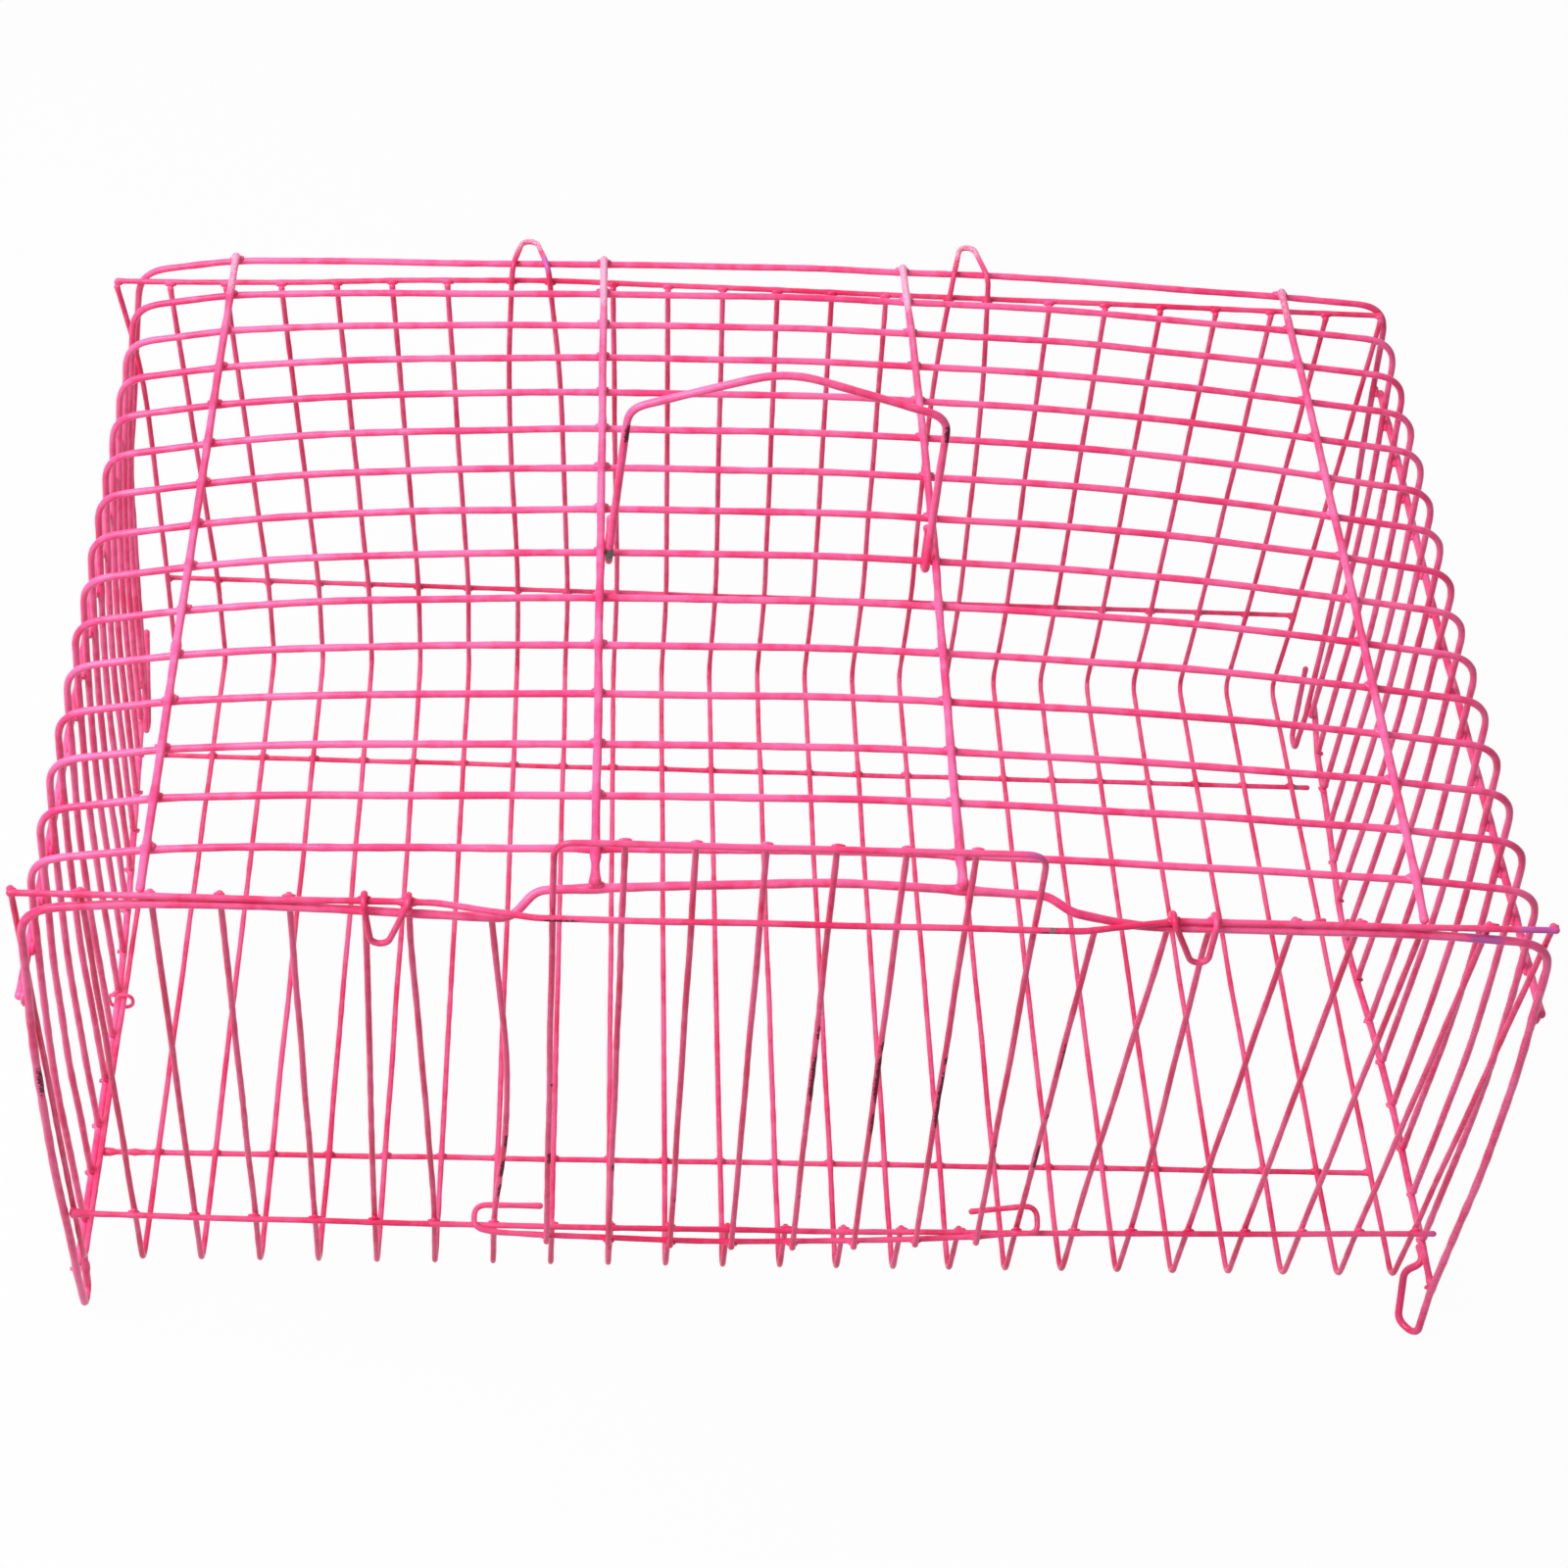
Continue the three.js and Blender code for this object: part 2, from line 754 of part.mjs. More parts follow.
function strandZ(x) {
  const across = x / wireX(rightGuide);
  return strandHeight - strandSag + (x < 0 ? strandSag : strandRightRise) * across * across;
}

// The door's bottom wire: its ends rise over the lower cross wire and turn back round the guides
function hairpin(side) {
  const guide = side * wireX(rightGuide);
  const turnX = guide + side * hairpinReach;
  const behind = strandY + hairpinDepth;
  const round = (hairpinDepth - clearance) / 2;
  const clear = lowerCrossZ(guide) + beside(crossWire, doorWire) + 2 * strandSpare;
  const over = Math.max(clear, strandZ(guide));
  const far = side < 0 ? over : over + rightTurnRise;
  const tailZ = side < 0 ? over : far - rightTailDrop;
  return [
    corner(guide, strandY, strandZ(guide)),
    corner(turnX, strandY, over, round, turnSteps),
    corner(turnX, behind, far, round, turnSteps),
    corner(guide - side * hairpinTail, behind, tailZ),
  ];
}

function doorFrame() {
  const left = -doorLeftBottom;
  const right = doorRightBottom;
  const weldY = strandY - doorWire + weldSink;
  const frame = tube([
    corner(left, weldY, strandZ(left) - barTip),
    corner(-doorLeftTop, doorPlaneY(doorTop), doorTop, doorCorner),
    corner(doorRightTop, doorPlaneY(doorTop), doorTop, doorCorner),
    corner(right, weldY, strandZ(right) - barTip),
  ], doorWire, thinSides);
  const strand = tube([
    ...hairpin(-1).reverse(),
    corner(left, strandY, strandZ(left)),
    corner(0, strandY, strandZ(0)),
    corner(right, strandY, strandZ(right)),
    ...hairpin(1),
  ], doorWire, thinSides);
  return joined(frame, strand);
}

function addDoor() {
  addPiece('door_frame', doorFrame(), doorPink, glossyShare);
  for (let number = 1; number <= doorBarCount; number += 1) {
    const share = number / (doorBarCount + 1);
    const bottomX = -doorLeftBottom + share * (doorLeftBottom + doorRightBottom);
    const topX = -doorLeftTop + share * (doorLeftTop + doorRightTop);
    const bottomZ = strandZ(bottomX) - barTip;
    addPiece(`door_bar_${number}`, tube([
      corner(bottomX, doorPlaneY(bottomZ), bottomZ),
      corner(topX, doorPlaneY(doorTop) + beside(doorWire, doorWire), doorTop + endLap),
    ], doorWire, thinSides), doorPink, glossyShare);
  }
}

// Handle, hooked round a middle hoop between the inner rails
const handleHoop = 9;
const pivotY = hoopY(handleHoop);

function handleFoot(side) {
  const aside = beside(railWire, handleWire);
  const x = side < 0 ? -innerRailLeft + aside : innerRailRight - aside;
  const pivotZ = hoopZ(x, pivotY);
  const round = beside(hoopWire, handleWire);
  const shoulder = side < 0 ? x + shoulderInset : x;
  return [
    corner(x, pivotY + round, pivotZ + handleTip),
    corner(x, pivotY + round, pivotZ - round, round, turnSteps),
    corner(x, pivotY - round, pivotZ - round, round, turnSteps),
    corner(x, pivotY - round, pivotZ + round),
    corner(shoulder, pivotY, pivotZ + shoulderHeight, shoulderBend),
  ];
}

function addHandle() {
  const apexX = (innerRailRight - innerRailLeft) / 2;
  const apexZ = hoopZ(apexX, pivotY) + shoulderHeight + apexRise;
  const corners = [
    ...handleFoot(-1),
    corner(apexX, pivotY, apexZ, apexBend, turnSteps),
    ...handleFoot(1).reverse(),
  ];
  addPiece('handle', tube(corners, handleWire, thickSides), handlePink, glossyShare);
}

// Hog rings: open loops round a bottom rail and the tray's outer wire, on which they hang
function hogRing(side, y) {
  const wire = side * halfTray;
  const rail = legX(side, y, 0);
  const room = railWire / 2 + ringWire / 2 + ringRoom;
  const inner = wire - side * room;
  const outer = rail + side * room;
  const top = beside(trayWire, ringWire);
  const bottom = bottomRailHeight - room;
  return [
    corner(wire + side * ringMouth, y, top),
    corner(inner, y, top, room),
    corner(inner, y, bottom, room),
    corner(outer, y, bottom, room),
    corner(outer, y, top, room),
    corner(rail, y, top),
  ];
}

function addRings() {
  addPiece('hog_ring_left', tube(hogRing(-1, leftRingPlace), ringWire, thinSides),
    ringPink, glossyShare);
  addPiece('hog_ring_right', tube(hogRing(1, rightRingPlace), ringWire, thinSides),
    ringPink, glossyShare);
}

addTrayWires();
addCrossWires();
addHoops();
addFrontHoop();
addRails();
addDoor();
addHandle();
addRings();

// The origin is on the surface that the feet stand on, under the middle of the cage
const extent = new THREE.Box3().setFromObject(cage, true);
cage.position.set(
  -(extent.min.x + extent.max.x) / 2,
  -(extent.min.y + extent.max.y) / 2,
  -extent.min.z,
);
cage.updateMatrixWorld(true);

export default cage;
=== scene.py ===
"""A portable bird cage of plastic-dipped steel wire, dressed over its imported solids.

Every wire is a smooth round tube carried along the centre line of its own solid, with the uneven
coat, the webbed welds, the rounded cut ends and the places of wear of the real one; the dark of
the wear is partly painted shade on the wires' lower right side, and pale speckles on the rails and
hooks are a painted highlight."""

import math

import bpy
import numpy as np
from mathutils import Euler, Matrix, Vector


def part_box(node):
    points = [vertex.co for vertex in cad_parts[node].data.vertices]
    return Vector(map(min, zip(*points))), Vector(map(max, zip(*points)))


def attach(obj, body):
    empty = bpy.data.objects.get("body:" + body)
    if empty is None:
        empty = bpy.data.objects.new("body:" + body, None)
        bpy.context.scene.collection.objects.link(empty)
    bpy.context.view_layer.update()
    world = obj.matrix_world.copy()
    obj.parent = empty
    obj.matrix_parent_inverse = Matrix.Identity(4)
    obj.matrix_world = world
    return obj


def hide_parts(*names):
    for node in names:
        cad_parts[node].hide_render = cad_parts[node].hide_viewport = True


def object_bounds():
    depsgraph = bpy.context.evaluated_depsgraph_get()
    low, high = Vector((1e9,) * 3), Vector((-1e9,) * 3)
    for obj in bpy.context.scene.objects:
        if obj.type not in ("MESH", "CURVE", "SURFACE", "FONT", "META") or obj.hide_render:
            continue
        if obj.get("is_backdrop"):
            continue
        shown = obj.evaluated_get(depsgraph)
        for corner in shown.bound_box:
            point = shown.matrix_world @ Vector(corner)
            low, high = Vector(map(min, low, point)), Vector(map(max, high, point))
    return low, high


bl_info = {
    "name": "Portable bird cage",
    "version": (1, 0, 0),
    "blender": (4, 5, 0),
    "location": "3D View > Sidebar > Bird cage",
    "description": "Coated wires, welds, door, handle and ties of a portable bird cage",
    "category": "Add Mesh",
}

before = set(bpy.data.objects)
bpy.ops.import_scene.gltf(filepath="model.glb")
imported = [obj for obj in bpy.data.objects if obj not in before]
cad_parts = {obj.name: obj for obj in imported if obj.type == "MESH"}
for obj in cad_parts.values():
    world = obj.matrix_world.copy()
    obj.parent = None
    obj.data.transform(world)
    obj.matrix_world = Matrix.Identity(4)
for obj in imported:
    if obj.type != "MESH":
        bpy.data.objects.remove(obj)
solid_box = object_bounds()

mm = 0.001
photo_size = 1600
sensor_width = 36

# Steps and limits of the searches along the wires
same_place = 0.001 * mm
same_centre = 0.01 * mm
widest_section = 2 * mm
least_fan = 4
search_step = 1.5 * mm
weld_slack = 1.1 * mm
mark_step = 0.5 * mm
heading_step = 0.6 * mm


def length(name, description, millimetres):
    """A size that a user may change, written here in millimetres and kept in metres."""
    return bpy.props.FloatProperty(
        name=name, description=description, default=millimetres * mm, min=0, precision=5,
        subtype="DISTANCE", unit="LENGTH",
    )


def share(name, description, default):
    """A plain share or strength."""
    return bpy.props.FloatProperty(name=name, description=description, default=default, min=0)


def spot(name, description, *millimetres):
    """A point in the room, written here in millimetres."""
    return bpy.props.FloatVectorProperty(
        name=name, description=description, default=[part * mm for part in millimetres],
        size=3, subtype="TRANSLATION", unit="LENGTH",
    )


def angle(name, description, degrees):
    """A turn, written here in degrees."""
    return bpy.props.FloatProperty(
        name=name, description=description, default=math.radians(degrees),
        subtype="ANGLE", unit="ROTATION",
    )


def colour(name, description, red, green, blue):
    """A colour, written here as the eight-bit levels of a screen."""
    levels = np.array((red, green, blue)) / 255
    linear = np.where(levels <= 0.04045, levels / 12.92, ((levels + 0.055) / 1.055) ** 2.4)
    return bpy.props.FloatVectorProperty(
        name=name, description=description, default=linear.tolist(), size=3,
        min=0, max=1, subtype="COLOR",
    )


class WireSizes(bpy.types.PropertyGroup):
    """Thickness of each kind of wire with its coat."""
    tray: length("Tray wire", "Thickness of the bent wires of the tray", 2.5)
    cross: length("Cross wire", "Thickness of the tray's long cross wires", 2.5)
    hoop: length("Hoop", "Thickness of the cover's hoops", 3.0)
    front_hoop: length("Front hoop", "Thickness of the hoop behind the door", 3.4)
    rail: length("Rail", "Thickness of the rails along the cover", 3.3)
    door: length("Door wire", "Thickness of the door's wires", 2.5)
    handle: length("Handle", "Thickness of the handle", 3.2)
    ring: length("Hog ring", "Thickness of the two ties", 1.8)


class CoatSizes(bpy.types.PropertyGroup):
    """How unevenly the dipped coat lies on the wires."""
    lump: share("Lumps", "Share of a wire's thickness that the coat swells and thins by", 0.035)
    lump_length: length("Lump length", "Usual length of one swelling of the coat", 21)
    bow: length("Bow", "How far a wire strays from its line between two welds", 0.1)
    bow_length: length("Bow length", "Usual length of one stray bend", 120)
    weld_swell: share("Weld swell", "Share that a wire thickens by at a weld", 0.08)
    weld_spread: length("Weld spread", "Half length of the thickening at a weld", 2.9)
    end_blob: share("End blob", "Share that the coat swells by at a wire's cut end", 0.1)
    wire_trim: length("Wire trim", "How far the tray wires end short of their solids", 1.3)
    bar_trim: length("Bar trim", "How far the door bars end short of their solids", 3)
    web_reach: share("Web reach", "Length of a weld's web along the wires, in their radii", 2.2)
    web_corner: share("Web corner", "Length of a weld's web between the wires, in radii", 1.5)
    web_depth: share("Web depth", "Half depth of a weld's web, in radii", 0.68)
    web_end: share("Web end", "Least length of a web past a wire's end, in radii", 0.8)
    web_clear: length("Web clearance", "Gap between a web and the handle that swings by", 0.3)
    web_uneven: share("Uneven web", "Usual share that a web's outline strays by", 0.07)
    station_gap: length("Section gap", "Distance between two sections of a straight wire", 2.6)
    turn: angle("Section turn", "Most that a bend turns between two sections", 11)
    cloud: length("Cloud", "Size of the thick and thin patches of the coat", 34)
    mottle: length("Mottle", "Size of the dimples in the coat", 5)
    peel: length("Peel", "Size of the orange peel", 1.3)
    dust: length("Dust", "Size of the specks in the coat", 0.7)
    ragged: length("Ragged edge", "Size of the notches at the edge of a worn place", 1.1)
    relief: length("Relief", "Depth of the dimples and of the orange peel", 0.35)


class DoorSizes(bpy.types.PropertyGroup):
    """Places of the door's outer wire and of its bottom guide wire."""
    left_top: length("Left top", "Left side of the door at its top, from the middle", 91.5)
    left_bottom: length("Left bottom", "Left side of the door at its foot", 89.7)
    right_top: length("Right top", "Right side of the door at its top", 86.6)
    right_bottom: length("Right bottom", "Right side of the door at its foot", 94.3)
    top: length("Top", "Height of the door's top over the tray's floor", 294)
    corner: length("Corner", "Radius of the door's upper corners", 8)
    lean: length("Lean", "How far the door leans back over the height of the tray", 3)
    strand_height: length("Strand height", "Height of the bottom guide wire's ends", 37)
    strand_sag: length("Strand sag", "How far the guide wire sags in the middle", 6)
    right_rise: length("Right rise", "How far the guide wire rises again to the right", 11)
    foot: length("Foot", "How far the door's wires reach below the guide wire", 3)
    sink: length("Weld sink", "How deep the outer wire is melted into the guide wire", 0.6)
    guide: length("Guide place", "Place of the tray's two guide wires, from the middle", 112.5)
    hairpin_reach: length("Hairpin reach", "How far the guide wire goes past a guide", 8)
    hairpin_depth: length("Hairpin depth", "Width of the guide wire's round turn", 11.1)
    hairpin_tail: length("Hairpin tail", "Length of the guide wire's end behind a guide", 21)
    turn_rise: length("Turn rise", "How far the guide wire's right turn climbs", 5)
    tail_drop: length("Tail drop", "How far the right end of the guide wire slopes down", 6)
    cross_height: length("Cross height", "Height of the tray's lower cross wire at a guide", 37.34)
    tray_height: length("Tray height", "Height of the tray's walls", 251)
    gap: length("Gap", "Clearance between two wires that touch", 0.3)
    spare: length("Spare", "Extra clearance round the guide wire", 0.15)


class CoatColours(bpy.types.PropertyGroup):
    """Colours of the coat, of its wear with its painted shade, of its painted highlight and of the
    steel under it.
    """
    tray_deep: colour("Tray, deep", "Coat of the tray where it is thick", 230, 42, 98)
    tray_pale: colour("Tray, pale", "Coat of the tray where it is thin", 246, 86, 140)
    cover_deep: colour("Cover, deep", "Coat of the cover where it is thick", 238, 58, 118)
    cover_pale: colour("Cover, pale", "Coat of the cover where it is thin", 252, 102, 158)
    # The grime colour also paints shade where the wear marks lie on the wires' lower right side.
    worn: colour("Worn", "Coat rubbed down to a dark grime", 62, 18, 30)
    steel: colour("Steel", "Bare wire under the coat", 122, 112, 110)
    violet: colour("Violet", "Coat gone violet at some ends", 172, 88, 176)
    # Painted highlight: the pale colour of the speckles on the tops of the rails, hooks and
    # handle.
    scuffed: colour("Scuffed", "Coat rubbed pale on the rails and hooks", 255, 176, 206)
    gloss: share("Roughness", "Roughness of the smooth coat", 0.26)


class StageSizes(bpy.types.PropertyGroup):
    """Camera, lamps and floor."""
    camera_x: length("Camera x", "Camera's distance to the left of the middle", 94.2)
    camera_y: length("Camera y", "Camera's distance in front of the middle", 836.8)
    camera_z: length("Camera z", "Camera's height over the ground", 1095.9)
    camera_pitch: angle("Pitch", "Camera's turn about X", 41.465)
    camera_roll: angle("Roll", "Camera's turn about Y", -4.617)
    camera_yaw: angle("Yaw", "Camera's turn about Z", -1.926)
    lens: bpy.props.FloatProperty(name="Lens", description="Lens of the camera in millimetres",
                                  default=64.27, min=1)
    top_power: share("Top lamp", "Power of the large lamp at the upper left, in watts", 29)
    top_place: spot("Top lamp place", "Middle of the large lamp", -850, -250, 1350)
    top_size: length("Top lamp size", "Side of the large lamp", 1100)
    back_power: share("Back lamp", "Power of the lamp above the back, in watts", 5)
    back_place: spot("Back lamp place", "Middle of the lamp above the back", -200, 1200, 1200)
    back_size: length("Back lamp size", "Side of the lamp above the back", 1000)
    front_power: share("Front lamp", "Power of the fill lamp in front, in watts", 2)
    front_place: spot("Front lamp place", "Middle of the fill lamp", 200, -1600, 900)
    front_size: length("Front lamp size", "Side of the fill lamp", 1200)
    world_light: share("Sky", "Strength of the even light from all sides", 0.24)
    floor_radius: length("Floor", "Radius of the floor", 2600)
    floor_white: share("Floor white", "Share of plain white that the camera sees in it", 0.96)
    floor_matt: share("Floor matt", "Share of the light that the floor throws back", 0.6)


groups = {
    "wires": WireSizes,
    "coat": CoatSizes,
    "door": DoorSizes,
    "colours": CoatColours,
    "stage": StageSizes,
}


def sizes(group):
    """The sizes of one group as the user has set them."""
    return getattr(bpy.context.scene, "birdcage_" + group)


# The centre lines of the wires, found from their solids


def unit(vectors):
    """Each vector divided by its own length."""
    lengths = np.linalg.norm(vectors, axis=-1, keepdims=True)
    return vectors / np.maximum(lengths, 1e-12)


def smoothstep(values):
    """Zero below 0, one above 1, and three squares less two cubes between them."""
    held = np.clip(values, 0, 1)
    return held * held * (3 - 2 * held)


def waves(seed, places, pace_length, count=5):
    """An irregular wave between about -1 and 1: the mean of sines with lengths round
    pace_length and seeded starts."""
    chance = np.random.default_rng(seed)
    paces = 2 * np.pi / pace_length * chance.uniform(0.5, 1.9, count)
    starts = chance.uniform(0, 2 * np.pi, count)
    return np.sin(places[..., None] * paces + starts).sum(-1) / math.sqrt(count)


def middles_of_sections(node):
    """Middles of the sections of a wire's solid, from one end to the other. An end face is a fan
    of triangles with one circumcentre; each next section is what the corners of the last one
    are joined to."""
    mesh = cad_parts[node].data
    corners = np.zeros(len(mesh.vertices) * 3)
    mesh.vertices.foreach_get("co", corners)
    loops = np.zeros(len(mesh.loops), np.int64)
    mesh.loops.foreach_get("vertex_index", loops)
    grid = np.round(corners.reshape(-1, 3) / same_place).astype(np.int64)
    _, first, merged = np.unique(grid, axis=0, return_index=True, return_inverse=True)
    points = corners.reshape(-1, 3)[first]
    triangles = merged.ravel()[loops].reshape(-1, 3)
    one, two, three = (points[triangles[:, i]] for i in range(3))
    side, other = two - one, three - one
    normal = np.cross(side, other)
    double = 2 * (normal ** 2).sum(-1, keepdims=True)
    out = ((other ** 2).sum(-1, keepdims=True) * np.cross(normal, side)
           + (side ** 2).sum(-1, keepdims=True) * np.cross(other, normal))
    centres = one + out / np.maximum(double, 1e-30)
    small = np.nonzero(np.linalg.norm(centres - one, axis=-1) < widest_section)[0]
    apart = np.linalg.norm(centres[small, None] - centres[None, small], axis=-1)
    fans = small[(apart < same_centre).sum(-1) >= least_fan]
    if not len(fans):
        raise RuntimeError("no end face was found on " + node)
    alike = np.linalg.norm(centres[fans] - centres[fans[0]], axis=-1) < same_centre
    joined = np.zeros((len(points), len(points)), bool)
    for i in range(3):
        joined[triangles[:, i], triangles[:, (i + 1) % 3]] = True
    joined |= joined.T
    section = np.zeros(len(points), bool)
    section[triangles[fans[alike]]] = True
    seen = section.copy()
    middles = []
    while section.any():
        middles.append(points[section].mean(0))
        section = joined[section].any(0) & ~seen
        seen |= section
    return np.array(middles)


class CentreLine:
    """A wire's centre line, as points with their distances from its first end."""

    def __init__(self, stations, reaches=None, samples=9):
        """Each corner between the stations is rounded by the parabola that touches both of its
        sides at one distance: half the shorter side, or less where a reach is given."""
        stations = np.asarray(stations, float)
        sides = np.linalg.norm(np.diff(stations, axis=0), axis=1)
        reach = np.minimum(sides[:-1], sides[1:]) / 2
        if reaches is not None:
            reach = np.minimum(reach, np.asarray(reaches, float))
        middle = stations[1:-1, None]
        start = middle + (unit(stations[:-2] - stations[1:-1]) * reach[:, None])[:, None]
        end = middle + (unit(stations[2:] - stations[1:-1]) * reach[:, None])[:, None]
        go = np.linspace(0, 1, samples)[None, :, None]
        rounds = start * (1 - go) ** 2 + middle * 2 * go * (1 - go) + end * go ** 2
        points = np.concatenate((stations[:1], rounds.reshape(-1, 3), stations[-1:]))
        steps = np.linalg.norm(np.diff(points, axis=0), axis=1)
        keep = np.concatenate(([True], steps > same_place))
        self.points = points[keep]
        steps = np.linalg.norm(np.diff(self.points, axis=0), axis=1)
        self.places = np.concatenate(([0], np.cumsum(steps)))
        self.length = self.places[-1]

    def at(self, places):
        """The points of the line at these distances from its first end."""
        return np.stack([np.interp(places, self.places, part) for part in self.points.T], -1)

    def spread(self, gap, turn):
        """Distances at which to set sections: close together in bends and up to gap apart."""
        headings = unit(np.diff(self.points, axis=0))
        bends = np.arccos(np.clip((headings[:-1] * headings[1:]).sum(-1), -1, 1))
        cost = np.diff(self.places) / gap
        cost[:-1] += bends / turn / 2
        cost[1:] += bends / turn / 2
        total = np.concatenate(([0], np.cumsum(cost)))
        wanted = np.linspace(0, total[-1], int(math.ceil(total[-1])) + 1)
        return np.interp(wanted, total, self.places)


def tray_zero():
    """The middle of the tray's front bend, which the door's sizes are measured from."""
    low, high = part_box("front_lower_bar")
    floor_low, floor_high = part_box("floor_bar_front")
    wires, door = sizes("wires"), sizes("door")
    step = (wires.tray + wires.cross) / 2 + door.gap
    across = (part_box("door_bar_1")[0].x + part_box("door_bar_1")[1].x) / 2
    bar_share = 1 / (len(door_bars) + 1)
    bottom = -door.left_bottom + bar_share * (door.left_bottom + door.right_bottom)
    top = -door.left_top + bar_share * (door.left_top + door.right_top)
    return np.array((
        across - (bottom + top) / 2,
        (low.y + high.y) / 2 + step,
        (floor_low.z + floor_high.z) / 2 + step,
    ))


def door_lines():
    """The door's outer wire, and its bottom guide wire with a hairpin round each guide."""
    door, wires = sizes("door"), sizes("wires")
    zero = tray_zero()
    touch = (wires.cross + wires.door) / 2 + door.gap
    strand_y = -(wires.tray + wires.cross) / 2 - door.gap - touch - door.spare
    weld_y = strand_y - wires.door + door.sink
    plane_y = strand_y - wires.door - door.gap
    top_y = plane_y + door.lean * (door.top - door.strand_height) / door.tray_height

    def strand_z(x):
        rise = door.strand_sag if x < 0 else door.right_rise
        return door.strand_height - door.strand_sag + rise * (x / door.guide) ** 2

    left, right = -door.left_bottom, door.right_bottom
    outer = [
        (left, weld_y, strand_z(left) - door.foot),
        (-door.left_top, top_y, door.top),
        (door.right_top, top_y, door.top),
        (right, weld_y, strand_z(right) - door.foot),
    ]
    behind = strand_y + door.hairpin_depth

    def hairpin(side):
        turn_x = side * (door.guide + door.hairpin_reach)
        tail_x = side * (door.guide - door.hairpin_tail)
        side_z = strand_z(side * door.guide)
        over = max(door.cross_height + touch + 2 * door.spare, side_z)
        far = over if side < 0 else over + door.turn_rise
        tail_z = over if side < 0 else far - door.tail_drop
        return [
            (side * door.guide, strand_y, side_z),
            (turn_x, strand_y, over),
            (turn_x, behind, far),
            (tail_x, behind, tail_z),
        ]

    middle = [(x, strand_y, strand_z(x)) for x in (left, 0, right)]
    strand = hairpin(-1)[::-1] + middle + hairpin(1)
    return {
        "door_outer": CentreLine(zero + outer, [door.corner] * 2),
        "door_strand": CentreLine(zero + strand),
    }


tray_bars = [
    "front_lower_bar", "front_top_bar", "floor_bar_front", "floor_bar_back",
    "back_lower_bar", "back_top_bar",
]
top_rails = ["top_rail_1", "top_rail_2", "top_rail_3", "top_rail_4"]
side_rails = ["side_rail_left", "side_rail_right", "bottom_rail_left", "bottom_rail_right"]
door_bars = ["door_bar_1", "door_bar_2", "door_bar_3", "door_bar_4", "door_bar_5", "door_bar_6"]
tray_wires = sorted(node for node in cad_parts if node.startswith("tray_wire"))
hoops = sorted(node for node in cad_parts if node.startswith("cover_hoop"))
rings = ["hog_ring_left", "hog_ring_right"]
front_hoop = hoops[-1]
lines = {}


def find_lines():
    """Fills the table of every wire's centre line. The door's joined wires are worked out from
    their sizes, because their solid has no plain sections where they meet."""
    if lines:
        return
    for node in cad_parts:
        if node != "door_frame":
            lines[node] = CentreLine(middles_of_sections(node))
    lines.update(door_lines())


def thickness(wire):
    """The thickness of a wire with its coat."""
    wires = sizes("wires")
    if wire.startswith("tray_wire"):
        return wires.tray
    if wire in tray_bars:
        return wires.cross
    if wire == front_hoop:
        return wires.front_hoop
    if wire in hoops:
        return wires.hoop
    if wire.startswith("door"):
        return wires.door
    if wire in rings:
        return wires.ring
    return wires.handle if wire == "handle" else wires.rail


# Where wires are welded


class Crossing:
    """Two welded wires: their nearest points, headings, radii and places along each."""

    def __init__(self, first, second, place, other):
        one, two = lines[first], lines[second]
        steps = np.array((-search_step, 0, search_step))
        at, to = one.at(place + steps), two.at(other + steps)
        self.along, self.across = unit(at[2] - at[0]), unit(to[2] - to[0])
        between = to[1] - at[1]
        dot = float(self.along @ self.across)
        spare = max(1 - dot * dot, 0.01)
        shift = (between @ self.along - dot * (between @ self.across)) / spare
        turn = (dot * (between @ self.along) - between @ self.across) / spare
        self.wires = (first, second)
        self.places = (
            float(np.clip(place + shift, 0, one.length)),
            float(np.clip(other + turn, 0, two.length)),
        )
        self.points = (one.at(self.places[0]), two.at(self.places[1]))
        self.radii = (thickness(first) / 2, thickness(second) / 2)


def crossings(firsts, seconds):
    """Every place where a wire of the first list passes within a weld of one of the second: the
    local least distances between their points that are under a limit."""
    found = []
    for second in seconds:
        two = lines[second]
        places = np.arange(0, two.length, search_step)
        others = two.at(places)
        for first in firsts:
            one = lines[first]
            along = np.arange(0, one.length, search_step)
            near = np.linalg.norm(others[:, None] - one.at(along)[None], axis=-1)
            best = near.min(1)
            limit = (thickness(first) + thickness(second)) / 2 + weld_slack
            padded = np.concatenate(([np.inf], best, [np.inf]))
            low = (best < limit) & (best <= padded[:-2]) & (best < padded[2:])
            for i in np.nonzero(low)[0]:
                found.append(Crossing(first, second, along[near[i].argmin()], places[i]))
    return found


welds = {}


def find_welds():
    """Fills the table of the welds of the tray, the cover and the door."""
    find_lines()
    if welds:
        return
    welds["tray"] = crossings(tray_wires, tray_bars)
    welds["cover"] = crossings(hoops, top_rails + side_rails)
    welds["door"] = crossings(door_bars, ["door_outer", "door_strand"])
    welds["door"] += crossings(["door_outer"], ["door_strand"])


def weld_places(wire):
    """Distances along a wire at which it is welded."""
    return [
        weld.places[weld.wires.index(wire)]
        for group in welds.values() for weld in group if wire in weld.wires
    ]


# Marks of use and of the dipping, each at a pixel of the photograph on the wire that carries it

# Among these marks, the dark ones are partly painted shade and the pale speckles are a painted
# highlight.
mark_core = 1 / 2
mark_rim = 4 / 3
nearer_share = 0.03


